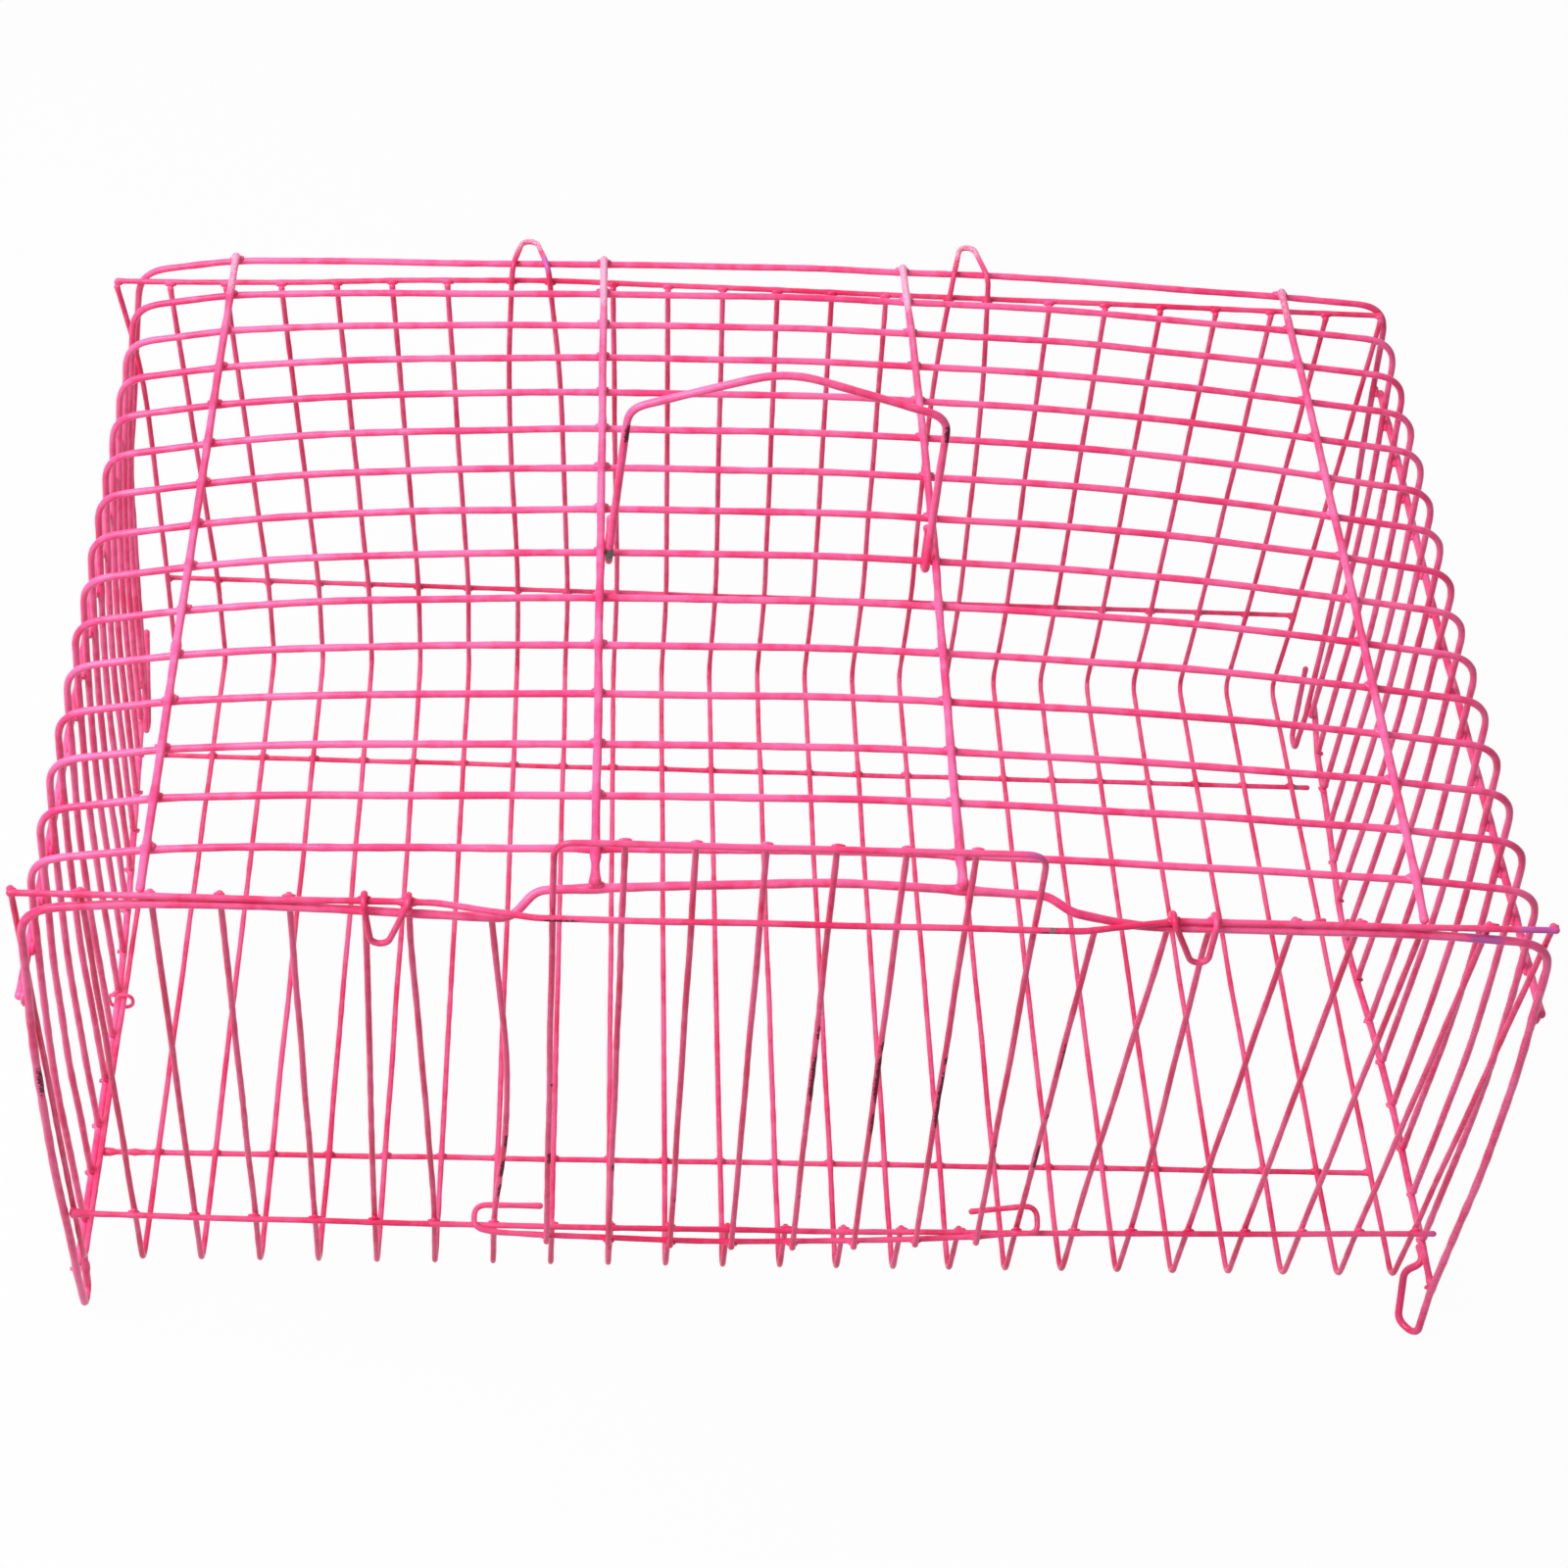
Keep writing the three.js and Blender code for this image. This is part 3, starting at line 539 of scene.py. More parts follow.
class Mark:
    """A place on a wire, by the pixel of the photograph that shows it."""

    def __init__(self, wire, pixel, reach, strength=1.0):
        self.wire = wire
        self.pixel = pixel
        self.reach = reach * mm
        self.strength = strength

    def place(self):
        """Distance along the wire of its point nearest to the pixel's ray, on the side that
        faces the camera where the wire comes past twice."""
        stage = sizes("stage")
        eye = np.array((-stage.camera_x, -stage.camera_y, stage.camera_z))
        turned = Euler((stage.camera_pitch, stage.camera_roll, stage.camera_yaw), "XYZ")
        pixel = sensor_width / stage.lens / photo_size
        across = (self.pixel[0] - photo_size / 2) * pixel
        down = (self.pixel[1] - photo_size / 2) * pixel
        ray = unit(np.array(turned.to_matrix() @ Vector((across, -down, -1))))
        line = lines[self.wire]
        places = np.arange(0, line.length, mark_step)
        towards = line.at(places) - eye
        away = towards @ ray
        off = np.linalg.norm(towards - away[:, None] * ray, axis=-1)
        return places[(off + nearer_share * away).argmin()]


# Dark wear marks; where they lie on a wire's lower right side, their dark is painted shade as well
# as wear.
grime_and_shade_marks = [
    Mark("tray_wire_08_09", (514, 1162), 6, 0.8),
    Mark("tray_wire_08_09", (508, 1190), 7),
    Mark("tray_wire_08_09", (504, 1212), 6, 0.8),
    Mark("door_outer", (559, 1106), 1.5, 0.9),
    Mark("door_outer", (558, 1180), 5, 0.8),
    Mark("door_bar_1", (617, 1190), 4, 0.6),
    Mark("door_bar_2", (688, 1222), 1.5, 0.9),
    Mark("door_bar_4", (835, 1052), 6, 0.7),
    Mark("door_bar_4", (829, 1098), 17),
    Mark("door_bar_4", (817, 1218), 2, 0.7),
    Mark("door_bar_5", (902, 1066), 4, 0.8),
    Mark("door_bar_5", (897, 1100), 18),
    Mark("door_bar_5", (890, 1145), 10, 0.8),
    Mark("door_bar_6", (969, 1082), 3, 0.9),
    Mark("door_bar_6", (963, 1122), 21),
    Mark("door_outer", (1013, 1167), 2, 0.9),
    Mark("tray_wire_16_17", (1081, 1075), 12, 0.7),
    Mark("tray_wire_16_17", (1066, 1137), 3, 0.8),
    Mark("tray_wire_16_17", (1058, 1178), 10),
    Mark("front_top_bar", (573, 940), 8),
    Mark("front_top_bar", (1073, 943), 4),
    Mark("cover_hoop_16", (60, 1100), 12, 0.7),
    Mark("tray_wire_01", (96, 1218), 4, 0.7),
    Mark("floor_bar_back", (1321, 802), 3),
    Mark("handle", (640, 440), 5),
    Mark("handle", (969, 443), 5),
    Mark("handle", (617, 563), 3),
    Mark("hog_ring_right", (1360, 933), 2.5),
    Mark("cover_hoop_05", (1293, 422), 2.5, 0.7),
]
steel_marks = [
    Mark("handle", (630, 565), 3.5),
    Mark("floor_bar_back", (1322, 802), 1.4),
    Mark("front_top_bar", (1074, 943), 1.6, 0.8),
]
violet_marks = [
    Mark("front_top_bar", (1570, 934), 9, 0.8),
    Mark("front_lower_bar", (1480, 1190), 6, 0.5),
    Mark("tray_wire_08_09", (553, 270), 5, 0.8),
    Mark("door_outer", (1058, 865), 4, 0.5),
    Mark("cover_hoop_16", (1515, 965), 8, 0.7),
]
# Painted highlight: pale speckles on the tops of the rails, the tray's back corners, the first
# hoop, a side rail and the handle, where the glossy coat catches the lamps.
painted_highlight_marks = [
    Mark("top_rail_1", (241, 275), 22, 0.9),
    Mark("top_rail_2", (616, 285), 30),
    Mark("top_rail_3", (920, 290), 30),
    Mark("top_rail_4", (1297, 305), 24, 0.8),
    Mark("tray_wire_08_09", (540, 248), 14, 0.9),
    Mark("tray_wire_16_17", (985, 255), 14, 0.9),
    Mark("cover_hoop_01", (360, 266), 30, 0.4),
    Mark("side_rail_right", (1500, 900), 20, 0.5),
    Mark("handle", (815, 382), 12, 0.5),
]
lump_marks = [
    Mark("top_rail_2", (604, 900), 4, 0.25),
    Mark("top_rail_3", (984, 902), 4, 0.25),
    Mark("cover_hoop_16", (604, 905), 6, 0.15),
    Mark("cover_hoop_16", (984, 908), 6, 0.15),
    Mark("cover_hoop_15", (608, 868), 5, 0.3),
    Mark("cover_hoop_15", (980, 872), 5, 0.3),
    Mark("top_rail_2", (606, 872), 3, 0.3),
    Mark("top_rail_3", (980, 876), 3, 0.3),
    Mark("front_top_bar", (416, 933), 2.2, 0.5),
    Mark("floor_bar_front", (111, 1173), 2.4, 0.5),
    Mark("floor_bar_front", (139, 1180), 2.0, 0.35),
    Mark("front_lower_bar", (78, 1238), 2.6, 0.6),
    Mark("cover_hoop_16", (87, 1292), 2.6, 0.3),
    Mark("top_rail_1", (176, 660), 2.0, 0.3),
    Mark("handle", (617, 563), 2.4, 0.12),
    Mark("handle", (947, 578), 2.4, 0.12),
]


def marked(wire, marks, places):
    """How strongly these places of a wire are marked: in full up to a mark's core, and falling
    by a smooth step to nothing at its rim. Core and rim are shares of its reach."""
    amount = np.zeros_like(places)
    for mark in marks:
        if mark.wire == wire:
            off = np.abs(places - mark.place()) / mark.reach
            fall = smoothstep((mark_rim - off) / (mark_rim - mark_core))
            amount = np.maximum(amount, mark.strength * fall)
    return amount


# Meshes

# Turns of the rings that round off a cut end, and of the rings of a web
cap_turns = np.radians((16, 36, 60, 90))
web_turns = np.radians((-52, -18, 18, 52))
web_sharpness = 1.5
web_least, web_most = 0.93, 1.1

# The blob at a cut end, in radii of the wire, and the share of the lumps that makes it oval
blob_place = 1.2
blob_spread = 1.1
oval_share = 0.4

# Painted shade: the dark wear marks are held to the side of the wires that faces this way, the
# lower right side away from the top lamp, so their dark is partly wear and partly shade
painted_shade_side = (0.75, -0.3, -0.6)
painted_shade_base = 0.55
painted_shade_lean = 0.75


class Shell:
    """Corners, faces and marks of a closed surface, to which others can be added."""

    def __init__(self):
        self.corners = []
        self.squares = []
        self.fans = []
        self.marks = {"worn": [], "steel": [], "violet": [], "scuffed": []}
        self.count = 0

    def add(self, corners, squares, fans, **marks):
        """Adds corners with the faces between them, and each corner's marks."""
        self.corners.append(corners)
        self.squares.append(squares + self.count)
        self.fans.append(fans + self.count)
        for name, values in self.marks.items():
            values.append(marks.get(name, np.zeros(len(corners))))
        self.count += len(corners)

    def mesh(self, name):
        """A smooth mesh of the surface, its marks as attributes of its corners."""
        mesh = bpy.data.meshes.new(name)
        faces = np.concatenate(self.squares).tolist() + np.concatenate(self.fans).tolist()
        mesh.from_pydata(np.concatenate(self.corners).tolist(), [], faces)
        mesh.polygons.foreach_set("use_smooth", np.ones(len(mesh.polygons), bool))
        for kind, values in self.marks.items():
            attribute = mesh.attributes.new(kind, "FLOAT", "POINT")
            attribute.data.foreach_set("value", np.concatenate(values).astype(np.float32))
        mesh.update()
        return mesh


def rings_of_faces(rows, sides):
    """Faces of a closed surface of rows rings with a pole at either end: squares between
    neighbouring rings, and a fan at each pole. The first pole is corner 0, the last pole the
    last corner."""
    row = np.arange(rows - 1)[:, None]
    side = np.arange(sides)[None]
    after = (side + 1) % sides
    here = 1 + row * sides
    squares = np.stack((
        here + side, here + after, here + sides + after, here + sides + side,
    ), -1).reshape(-1, 4)
    side, after = side.ravel(), after.ravel()
    last = 1 + (rows - 1) * sides
    first_fan = np.stack((np.zeros(sides, np.int64), 1 + after, 1 + side), -1)
    last_fan = np.stack((np.full(sides, last + sides), last + side, last + after), -1)
    return squares, np.concatenate((first_fan, last_fan))


def frames_along(headings):
    """Two directions square to each heading that turn as little as may be along the line: any
    square direction is carried to the next heading by the least rotation, and the angles left
    over are summed up and taken off."""
    axis = np.eye(3)[np.abs(headings).argmin(-1)]
    side = unit(np.cross(headings, axis))
    other = np.cross(headings, side)
    both = headings[:-1] + headings[1:]
    dot = 1 + (headings[:-1] * headings[1:]).sum(-1, keepdims=True)
    lean = (side[:-1] * headings[1:]).sum(-1, keepdims=True)
    carried = side[:-1] - both * lean / dot
    left = np.arctan2((carried * other[1:]).sum(-1), (carried * side[1:]).sum(-1))
    turn = np.concatenate(([0], np.cumsum(left)))[:, None]
    return (np.cos(turn) * side + np.sin(turn) * other,
            np.cos(turn) * other - np.sin(turn) * side)


def end_trim(wire):
    """How far a wire's coat ends short of its solid."""
    coat = sizes("coat")
    if wire in door_bars:
        return coat.bar_trim
    return coat.wire_trim if wire in tray_wires else 0


def add_wire(shell, wire, seed, sides=12):
    """A round section carried along the wire's centre line. Its radius is the wire's, times one
    plus slow waves for the uneven coat, bell curves at the welds, cut ends and lumps, and
    times the sine of the cap's angle where it rounds off an end. The centre strays by a slow
    wave that dies out at both ends."""
    coat = sizes("coat")
    line = lines[wire]
    radius = thickness(wire) / 2
    start = end_trim(wire)
    stop = line.length - start
    caps = radius * (1 - np.cos(cap_turns))
    middle = line.spread(coat.station_gap, coat.turn)
    middle = middle[(middle > start + 1.5 * radius) & (middle < stop - 1.5 * radius)]
    places = np.concatenate((start + caps, middle, stop - caps[::-1]))
    from_end = np.minimum(places - start, stop - places)
    fade = smoothstep(from_end / coat.bow_length * 2)
    centres = line.at(places)
    ahead = line.at(np.minimum(places + heading_step, line.length))
    headings = unit(ahead - line.at(np.maximum(places - heading_step, 0)))
    side, other = frames_along(headings)
    bow = coat.bow * fade[:, None]
    centres = centres + side * waves(seed, places, coat.bow_length)[:, None] * bow
    centres = centres + other * waves(seed + 1, places, coat.bow_length)[:, None] * bow
    swell = 1 + coat.lump * waves(seed + 2, places, coat.lump_length)
    for weld in weld_places(wire):
        swell = swell + coat.weld_swell * np.exp(-((places - weld) / coat.weld_spread) ** 2)
    blob = (from_end / radius - blob_place) / blob_spread
    swell = swell + coat.end_blob * np.exp(-blob ** 2)
    swell = swell + marked(wire, lump_marks, places)
    cap = np.sqrt(1 - np.clip(1 - from_end / radius, 0, 1) ** 2)
    round_turn = 2 * np.pi * np.arange(sides) / sides
    flattening = oval_share * coat.lump * waves(seed + 3, places, coat.lump_length)
    oval = 1 + flattening[:, None] * np.cos(2 * round_turn)
    far = (radius * swell * cap)[:, None] * oval
    outward = (side[:, None] * np.cos(round_turn)[:, None]
               + other[:, None] * np.sin(round_turn)[:, None])
    corners = centres[:, None] + outward * far[..., None]
    corners = np.concatenate((
        line.at(np.array([start])), corners.reshape(-1, 3), line.at(np.array([stop])),
    ))
    squares, fans = rings_of_faces(len(places), sides)
    # Painted shade: each corner's share of the dark marks, full on the lower right side and none
    # on the upper left side that the top lamp lights.
    painted_shade_share = np.clip(painted_shade_base + painted_shade_lean * outward @ unit(np.array(painted_shade_side)), 0, 1)

    def on_corners(marks, shares=1.0):
        values = marked(wire, marks, places)[:, None] * np.ones(sides) * shares
        return np.concatenate((values[0, :1], values.ravel(), values[-1, -1:]))

    shell.add(
        corners, squares, fans,
        worn=on_corners(grime_and_shade_marks, painted_shade_share),
        steel=on_corners(steel_marks),
        violet=on_corners(violet_marks),
        scuffed=on_corners(painted_highlight_marks),
    )


def add_webs(shell, group, seed, sides=12):
    """The web that the coat draws at each weld: a flat closed pillow between the two wires, long
    along them and short between them. Each ring has the star's outline times the cosine of its
    turn, and stands the web's depth times the sine of it off the plane where the wires touch. The
    outline is held in where a wire ends, and short of the handle."""
    coat = sizes("coat")
    chance = np.random.default_rng(seed)
    angles = 2 * np.pi * (np.arange(sides) + 0.5) / sides
    reach, corner = coat.web_reach, coat.web_corner
    star = corner + (reach - corner) * np.abs(np.cos(2 * angles)) ** web_sharpness
    squares, fans = rings_of_faces(len(web_turns), sides)
    handle = lines["handle"]
    handle_points = handle.at(handle.spread(coat.station_gap, coat.turn))
    for weld in group:
        thin = min(weld.radii)
        between = weld.points[1] - weld.points[0]
        normal = unit(between)
        along = unit(weld.along - (weld.along @ normal) * normal)
        across = unit(weld.across - (weld.across @ normal) * normal)
        room = [(place, lines[wire].length - place)
                for wire, place in zip(weld.wires, weld.places)]
        if np.cross(along, across) @ normal < 0:
            across = -across
            room[1] = room[1][::-1]
        gap = np.linalg.norm(between) - sum(weld.radii)
        middle = weld.points[0] + normal * (weld.radii[0] + gap / 2)
        size = thin * chance.uniform(web_least, web_most)
        uneven = 1 + coat.web_uneven * chance.standard_normal(sides)
        least = coat.web_end * thin
        ahead = np.maximum(np.where(np.cos(angles) > 0, room[0][1], room[0][0]), least)
        aside = np.maximum(np.where(np.sin(angles) > 0, room[1][1], room[1][0]), least)
        held = np.minimum(ahead / np.abs(np.cos(angles)), aside / np.abs(np.sin(angles)))
        free = np.linalg.norm(handle_points - middle, axis=-1).min() - thickness("handle") / 2
        held = np.minimum(held, max(free - coat.web_clear, least))
        flat = np.cos(web_turns)[:, None] * np.minimum(star * uneven * size, held)
        half_depth = coat.web_depth * thin + max(gap, 0) / 2
        depth = half_depth * np.sin(web_turns)
        corners = (middle
                   + along * (flat * np.cos(angles))[..., None]
                   + across * (flat * np.sin(angles))[..., None]
                   + (normal * depth[:, None])[:, None])
        pole = normal * half_depth
        corners = np.concatenate((
            (middle - pole)[None], corners.reshape(-1, 3), (middle + pole)[None],
        ))
        shell.add(corners, squares, fans)


# Materials


class Link:
    """A socket of a material, with Python's arithmetic."""

    def __init__(self, recipe, socket):
        self.recipe = recipe
        self.socket = socket

    def maths(self, operation, first, second):
        """One Math node on two values or links."""
        return self.recipe.node("ShaderNodeMath", {"operation": operation}, {0: first, 1: second})

    def __add__(self, other):
        return self.maths("ADD", self, other)

    def __radd__(self, other):
        return self.maths("ADD", other, self)

    def __sub__(self, other):
        return self.maths("SUBTRACT", self, other)

    def __rsub__(self, other):
        return self.maths("SUBTRACT", other, self)

    def __mul__(self, other):
        return self.maths("MULTIPLY", self, other)

    def __rmul__(self, other):
        return self.maths("MULTIPLY", other, self)


class Recipe:
    """The nodes of one material."""

    def __init__(self, tree):
        self.tree = tree
        tree.nodes.clear()

    def node(self, kind, settings, values, output=0):
        """A node of a kind: its settings, then the values or links of its sockets."""
        made = self.tree.nodes.new(kind)
        for name, value in settings.items():
            setattr(made, name, value)
        for name, value in values.items():
            if isinstance(value, Link):
                self.tree.links.new(value.socket, made.inputs[name])
            else:
                made.inputs[name].default_value = value
        return Link(self, made.outputs[output]) if len(made.outputs) else made

    def mixed(self, amount, first, second):
        """A colour between two others."""
        return self.node("ShaderNodeMix", {"data_type": "RGBA", "clamp_factor": True},
                         {0: amount, 6: first, 7: second}, output=2)

    def noise(self, place, feature, detail):
        """Cloudy noise whose features have about this size."""
        return self.node("ShaderNodeTexNoise", {}, {
            "Vector": place, "Scale": 1 / feature, "Detail": detail,
        })

    def step(self, value, low, high):
        """Zero below low and one above high, smooth between."""
        return self.node("ShaderNodeMapRange", {"interpolation_type": "SMOOTHSTEP"}, {
            "Value": value, "From Min": low, "From Max": high,
        })


def opaque(tint):
    """A colour with its alpha."""
    return (*tint, 1)


def coat_material(name, deep, pale):
    """The dipped coat: a glossy pink that is deeper where it is thick, with faint orange peel,
    fine specks, and marks where it is dark with grime, where the steel shows through, or where it
    has gone violet. The dark marks are partly painted shade where they lie on the wires' lower
    right side, and pale speckles on the rails and hooks are a painted highlight. A mark shows
    where its strength and a share of noise come over a limit."""
    colours, grain = sizes("colours"), sizes("coat")
    material = bpy.data.materials.new(name)
    material.use_nodes = True
    recipe = Recipe(material.node_tree)
    place = recipe.node("ShaderNodeTexCoord", {}, {}, output="Object")
    cloud = recipe.noise(place, grain.cloud, 2)
    mottle = recipe.noise(place, grain.mottle, 2)
    peel = recipe.noise(place, grain.peel, 2)
    dust = recipe.noise(place, grain.dust, 3)
    ragged = recipe.noise(place, grain.ragged, 4)

    def mark(kind):
        return recipe.node("ShaderNodeAttribute", {"attribute_name": kind}, {}, output="Fac")

    # Dark marks: real grime, with painted shade where they lie on the wires' lower right side.
    worn = recipe.step(mark("worn") + (ragged - 0.5) * 1.1, 0.42, 0.72)
    bare = recipe.step(mark("steel") + (ragged - 0.5) * 0.9, 0.42, 0.62)
    violet = recipe.step(mark("violet") + (cloud - 0.5), 0.1, 1.1)
    speck = recipe.step(dust, 0.71, 0.76)
    # Painted highlight: pale speckles where the marks and the dust noise come over a limit.
    scuffed = recipe.step(mark("scuffed") + (dust - 0.5) * 1.8, 0.62, 1.05)
    depth = recipe.step(cloud * 0.65 + mottle * 0.35, 0.36, 0.62)
    coat = recipe.mixed(depth, opaque(deep), opaque(pale))
    coat = recipe.mixed(speck * 0.35, coat, opaque(colours.worn))
    coat = recipe.mixed(scuffed * 0.75, coat, opaque(colours.scuffed))
    coat = recipe.mixed(violet, coat, opaque(colours.violet))
    coat = recipe.mixed(worn * 0.92, coat, opaque(colours.worn))
    base = recipe.mixed(bare, coat, opaque(colours.steel))
    ripple = recipe.node("ShaderNodeBump", {}, {
        "Height": mottle * 0.55 + peel * 0.3 + dust * 0.05 + worn * 0.25,
        "Strength": 0.35, "Distance": grain.relief,
    })
    shader = recipe.node("ShaderNodeBsdfPrincipled", {}, {
        "Base Color": base,
        "Metallic": bare * 0.9,
        "Roughness": colours.gloss + peel * 0.1 + worn * 0.35 + bare * 0.15,
        "Coat Weight": 0.14 * (1 - bare) * (1 - worn),
        "Coat Roughness": 0.07,
        "Specular IOR Level": 0.2,
        "Normal": ripple,
    })
    recipe.node("ShaderNodeOutputMaterial", {}, {"Surface": shader})
    return material


def coat(part):
    """The coat of one part of the cage, made once. Its name is apart from those of the plain
    materials that the frame brings."""
    name = part + "_dip"
    if name not in bpy.data.materials:
        colours = sizes("colours")
        tray = part in ("tray", "door", "ring")
        deep = colours.tray_deep if tray else colours.cover_deep
        pale = colours.tray_pale if tray else colours.cover_pale
        coat_material(name, deep, pale)
    return bpy.data.materials[name]


def add_piece(name, shell, body, part, nodes=()):
    """Puts a surface into the scene on its body, for the solids that it stands for."""
    mesh = shell.mesh(name)
    mesh.materials.append(coat(part))
    piece = bpy.data.objects.new(name, mesh)
    bpy.context.scene.collection.objects.link(piece)
    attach(piece, body)
    if nodes:
        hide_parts(*nodes)


def add_wires(wires, body, part, seed):
    """One coated piece for each wire."""
    find_welds()
    for i, wire in enumerate(wires):
        shell = Shell()
        add_wire(shell, wire, seed + 7 * i)
        add_piece(wire + "_coated", shell, body, part, [wire])


# Operators


class BIRDCAGE_OT_tray_wires(bpy.types.Operator):
    """Coated bent wires of the tray, with their hooks"""
    bl_idname = "birdcage.tray_wires"
    bl_label = "Tray wires"

    def execute(self, context):
        add_wires(tray_wires, "cage", "tray", 1000)
        return {"FINISHED"}


class BIRDCAGE_OT_cross_wires(bpy.types.Operator):
    """Coated cross wires under and round the tray"""
    bl_idname = "birdcage.cross_wires"
    bl_label = "Cross wires"

    def execute(self, context):
        add_wires(tray_bars, "cage", "tray", 2000)
        return {"FINISHED"}


class BIRDCAGE_OT_cover_hoops(bpy.types.Operator):
    """Coated hoops of the cover, the first and last with their feet"""
    bl_idname = "birdcage.cover_hoops"
    bl_label = "Cover hoops"

    def execute(self, context):
        add_wires(hoops, "cage", "cover", 3000)
        return {"FINISHED"}


class BIRDCAGE_OT_cover_rails(bpy.types.Operator):
    """Coated rails along the cover's top, sides and foot"""
    bl_idname = "birdcage.cover_rails"
    bl_label = "Cover rails"

    def execute(self, context):
        add_wires(top_rails + side_rails, "cage", "cover", 4000)
        return {"FINISHED"}


class BIRDCAGE_OT_welds(bpy.types.Operator):
    """Webs of coat at the welds of the tray and of the cover"""
    bl_idname = "birdcage.welds"
    bl_label = "Welds"

    def execute(self, context):
        find_welds()
        for part, seed in (("tray", 5000), ("cover", 5100)):
            shell = Shell()
            add_webs(shell, welds[part], seed)
            add_piece(part + "_welds", shell, "cage", part)
        return {"FINISHED"}


class BIRDCAGE_OT_door(bpy.types.Operator):
    """Sliding door: outer wire, bottom guide wire, bars and welds"""
    bl_idname = "birdcage.door"
    bl_label = "Door"

    def execute(self, context):
        find_welds()
        outer = Shell()
        add_wire(outer, "door_outer", 6000)
        add_wire(outer, "door_strand", 6010)
        add_piece("door_frame_coated", outer, "door", "door", ["door_frame"])
        add_wires(door_bars, "door", "door", 6100)
        webs = Shell()
        add_webs(webs, welds["door"], 6200)
        add_piece("door_welds", webs, "door", "door")
        return {"FINISHED"}


class BIRDCAGE_OT_handle(bpy.types.Operator):
    """Carrying handle, hooked round a middle hoop"""
    bl_idname = "birdcage.handle"
    bl_label = "Handle"

    def execute(self, context):
        add_wires(["handle"], "handle", "handle", 7000)
        return {"FINISHED"}


class BIRDCAGE_OT_hog_rings(bpy.types.Operator):
    """Two rings that tie the cover's bottom rails to the tray"""
    bl_idname = "birdcage.hog_rings"
    bl_label = "Hog rings"

    def execute(self, context):
        add_wires(rings, "cage", "ring", 8000)
        return {"FINISHED"}


class BIRDCAGE_OT_stage(bpy.types.Operator):
    """Camera, lamps, sky and floor"""
    bl_idname = "birdcage.stage"
    bl_label = "Stage"

    def execute(self, context):
        stage = sizes("stage")
        scene = context.scene
        scene.view_settings.view_transform = "Standard"
        view = bpy.data.cameras.new("photo_view")
        view.sensor_width = sensor_width
        view.lens = stage.lens
        camera = bpy.data.objects.new("photo_view", view)
        camera.location = (-stage.camera_x, -stage.camera_y, stage.camera_z)
        camera.rotation_euler = (stage.camera_pitch, stage.camera_roll, stage.camera_yaw)
        scene.collection.objects.link(camera)
        scene.camera = camera
        add_lamp("top_lamp", stage.top_power, stage.top_place, stage.top_size)
        add_lamp("back_lamp", stage.back_power, stage.back_place, stage.back_size)
        add_lamp("front_lamp", stage.front_power, stage.front_place, stage.front_size)
        add_sky(stage.world_light)
        add_floor(stage.floor_radius, stage.floor_white, stage.floor_matt)
        return {"FINISHED"}


def add_lamp(name, power, place, size):
    """A square soft lamp that looks at the middle of the cage."""
    lamp = bpy.data.lights.new(name, "AREA")
    lamp.energy = power
    lamp.size = size
    holder = bpy.data.objects.new(name, lamp)
    low, high = solid_box
    holder.location = place
    holder.rotation_euler = ((low + high) / 2 - Vector(place)).to_track_quat("-Z", "Y").to_euler()
    bpy.context.scene.collection.objects.link(holder)


def seen_plainly(recipe):
    """One where a camera, a mirror or glass looks, and zero for light that falls on things."""
    rays = recipe.node("ShaderNodeLightPath", {}, {}, output="Is Camera Ray")
    sockets = rays.socket.node.outputs
    mirror = Link(recipe, sockets["Is Glossy Ray"])
    glass = Link(recipe, sockets["Is Transmission Ray"])
    return recipe.step(rays + mirror + glass, 0, 1)


def add_sky(strength):
    """A world that lights evenly and is plain white where it is seen."""
    sky = bpy.data.worlds.new("sky")
    sky.use_nodes = True
    bpy.context.scene.world = sky
    recipe = Recipe(sky.node_tree)
    white = opaque((1, 1, 1))
    light = recipe.node("ShaderNodeBackground", {}, {"Color": white, "Strength": strength})
    seen = recipe.node("ShaderNodeBackground", {}, {"Color": white, "Strength": 1})
    both = recipe.node("ShaderNodeMixShader", {}, {0: seen_plainly(recipe), 1: light, 2: seen})
    recipe.node("ShaderNodeOutputWorld", {}, {"Surface": both})


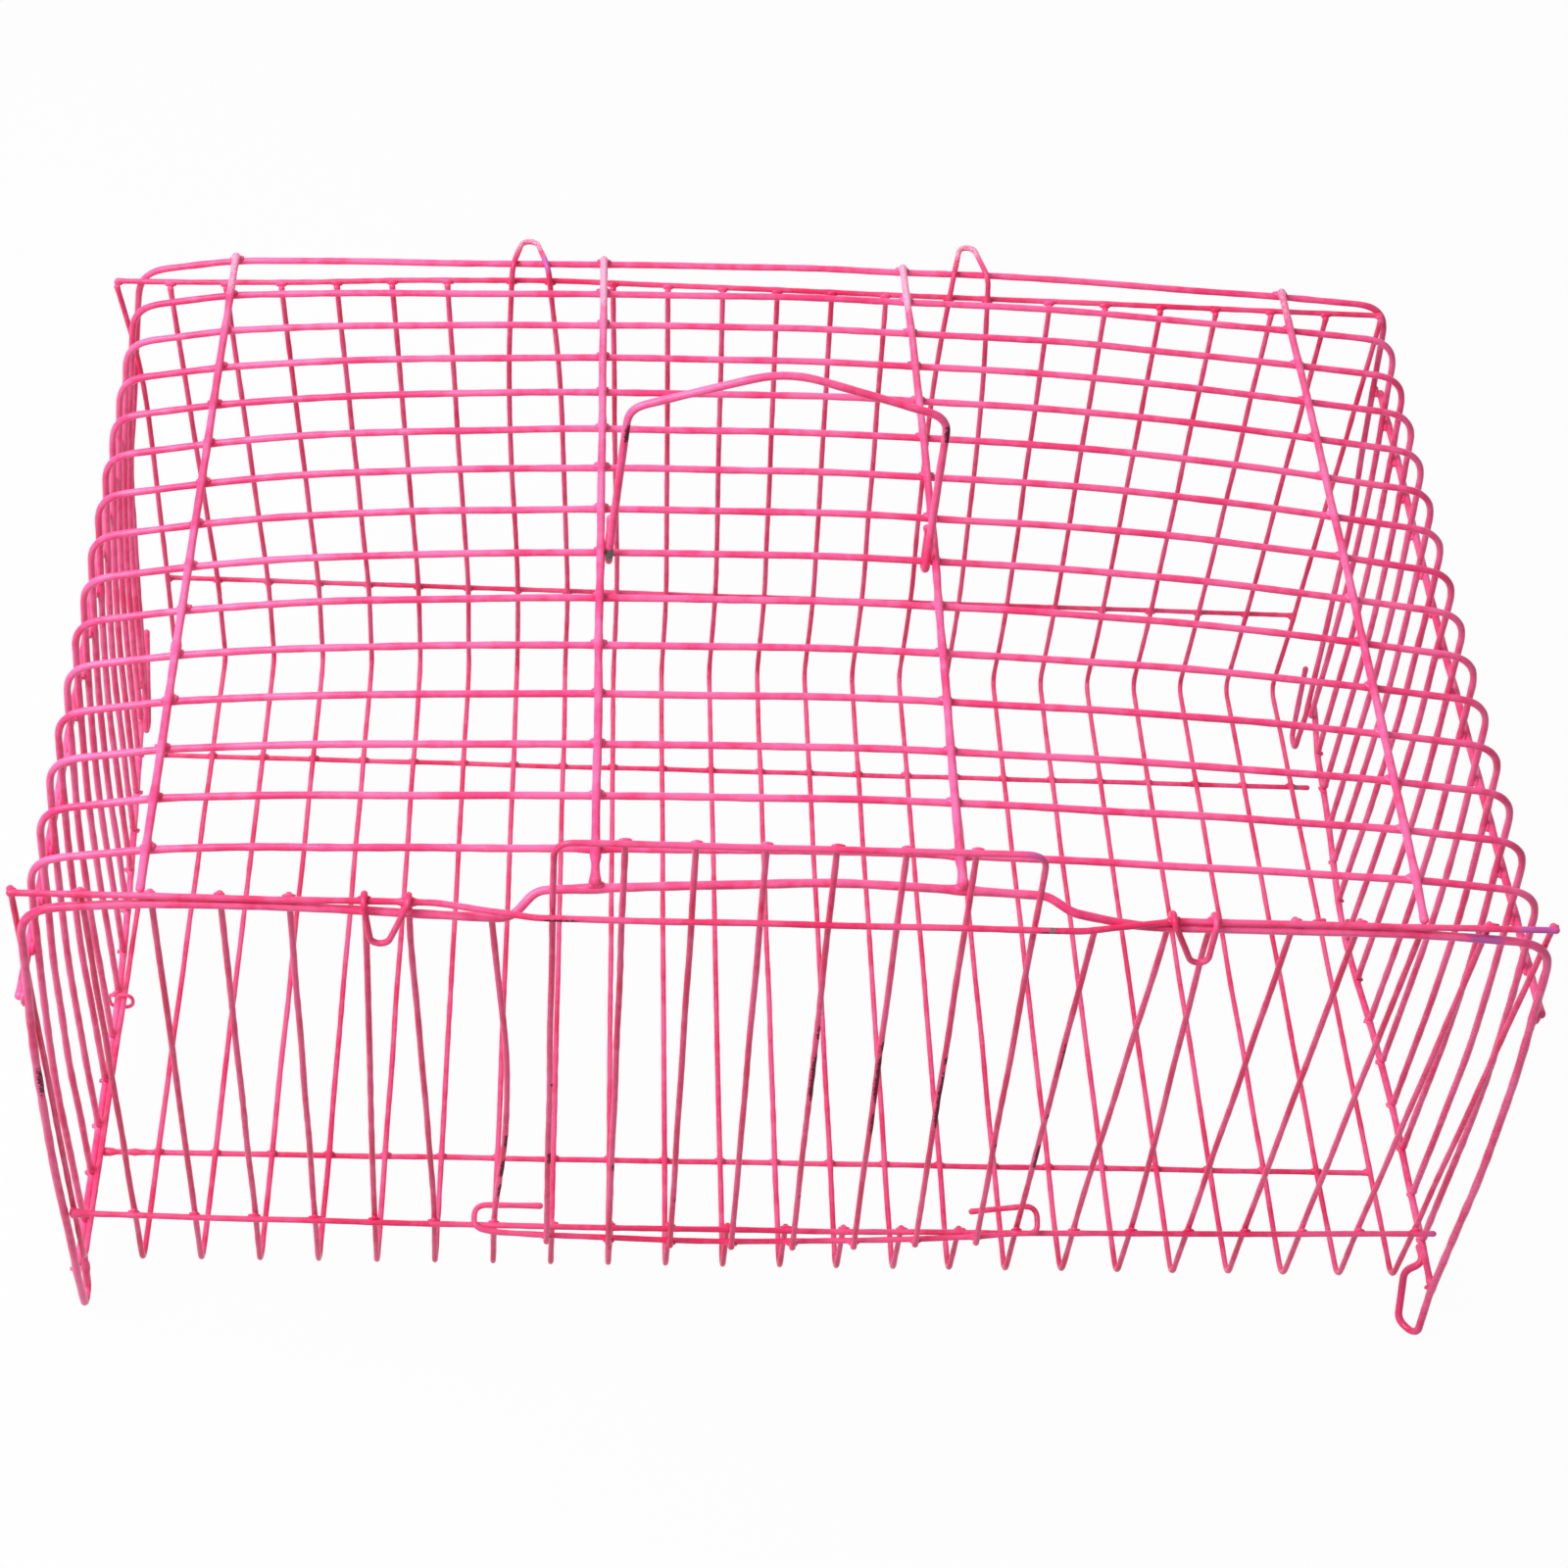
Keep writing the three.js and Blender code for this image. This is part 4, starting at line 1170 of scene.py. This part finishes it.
def add_floor(radius, white_share, matt_share, sides=64):
    """A round floor under the lowest wire: a disc of one ring of corners."""
    angles = 2 * np.pi * np.arange(sides) / sides
    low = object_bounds()[0].z
    ring = np.stack((np.cos(angles) * radius, np.sin(angles) * radius,
                     np.full(sides, low)), -1)
    mesh = bpy.data.meshes.new("floor")
    mesh.from_pydata(ring.tolist(), [], [list(range(sides))])
    material = bpy.data.materials.new("floor")
    material.use_nodes = True
    recipe = Recipe(material.node_tree)
    white = opaque((1, 1, 1))
    grey = opaque([matt_share] * 3)
    matt = recipe.node("ShaderNodeBsdfDiffuse", {}, {"Color": grey})
    plain = recipe.node("ShaderNodeEmission", {}, {"Color": white, "Strength": 1})
    both = recipe.node("ShaderNodeMixShader", {}, {
        0: seen_plainly(recipe) * white_share, 1: matt, 2: plain,
    })
    recipe.node("ShaderNodeOutputMaterial", {}, {"Surface": both})
    mesh.materials.append(material)
    floor = bpy.data.objects.new("floor", mesh)
    bpy.context.scene.collection.objects.link(floor)
    floor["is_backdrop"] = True


operators = [
    BIRDCAGE_OT_tray_wires,
    BIRDCAGE_OT_cross_wires,
    BIRDCAGE_OT_cover_hoops,
    BIRDCAGE_OT_cover_rails,
    BIRDCAGE_OT_welds,
    BIRDCAGE_OT_door,
    BIRDCAGE_OT_handle,
    BIRDCAGE_OT_hog_rings,
    BIRDCAGE_OT_stage,
]


class BIRDCAGE_PT_panel(bpy.types.Panel):
    """The pieces of the bird cage"""
    bl_label = "Bird cage"
    bl_idname = "BIRDCAGE_PT_panel"
    bl_space_type = "VIEW_3D"
    bl_region_type = "UI"
    bl_category = "Bird cage"

    def draw(self, context):
        for operator in operators:
            self.layout.operator(operator.bl_idname)


def register():
    """Registers the sizes, the operators and the panel."""
    for name, group in groups.items():
        bpy.utils.register_class(group)
        setattr(bpy.types.Scene, "birdcage_" + name, bpy.props.PointerProperty(type=group))
    for kind in operators + [BIRDCAGE_PT_panel]:
        bpy.utils.register_class(kind)


def unregister():
    """Takes back what register added."""
    for kind in reversed(operators + [BIRDCAGE_PT_panel]):
        bpy.utils.unregister_class(kind)
    for name, group in reversed(groups.items()):
        delattr(bpy.types.Scene, "birdcage_" + name)
        bpy.utils.unregister_class(group)


def main():
    """Builds every piece and the stage."""
    register()
    for operator in operators:
        family, name = operator.bl_idname.split(".")
        getattr(getattr(bpy.ops, family), name)()


if __name__ == "__main__":
    main()
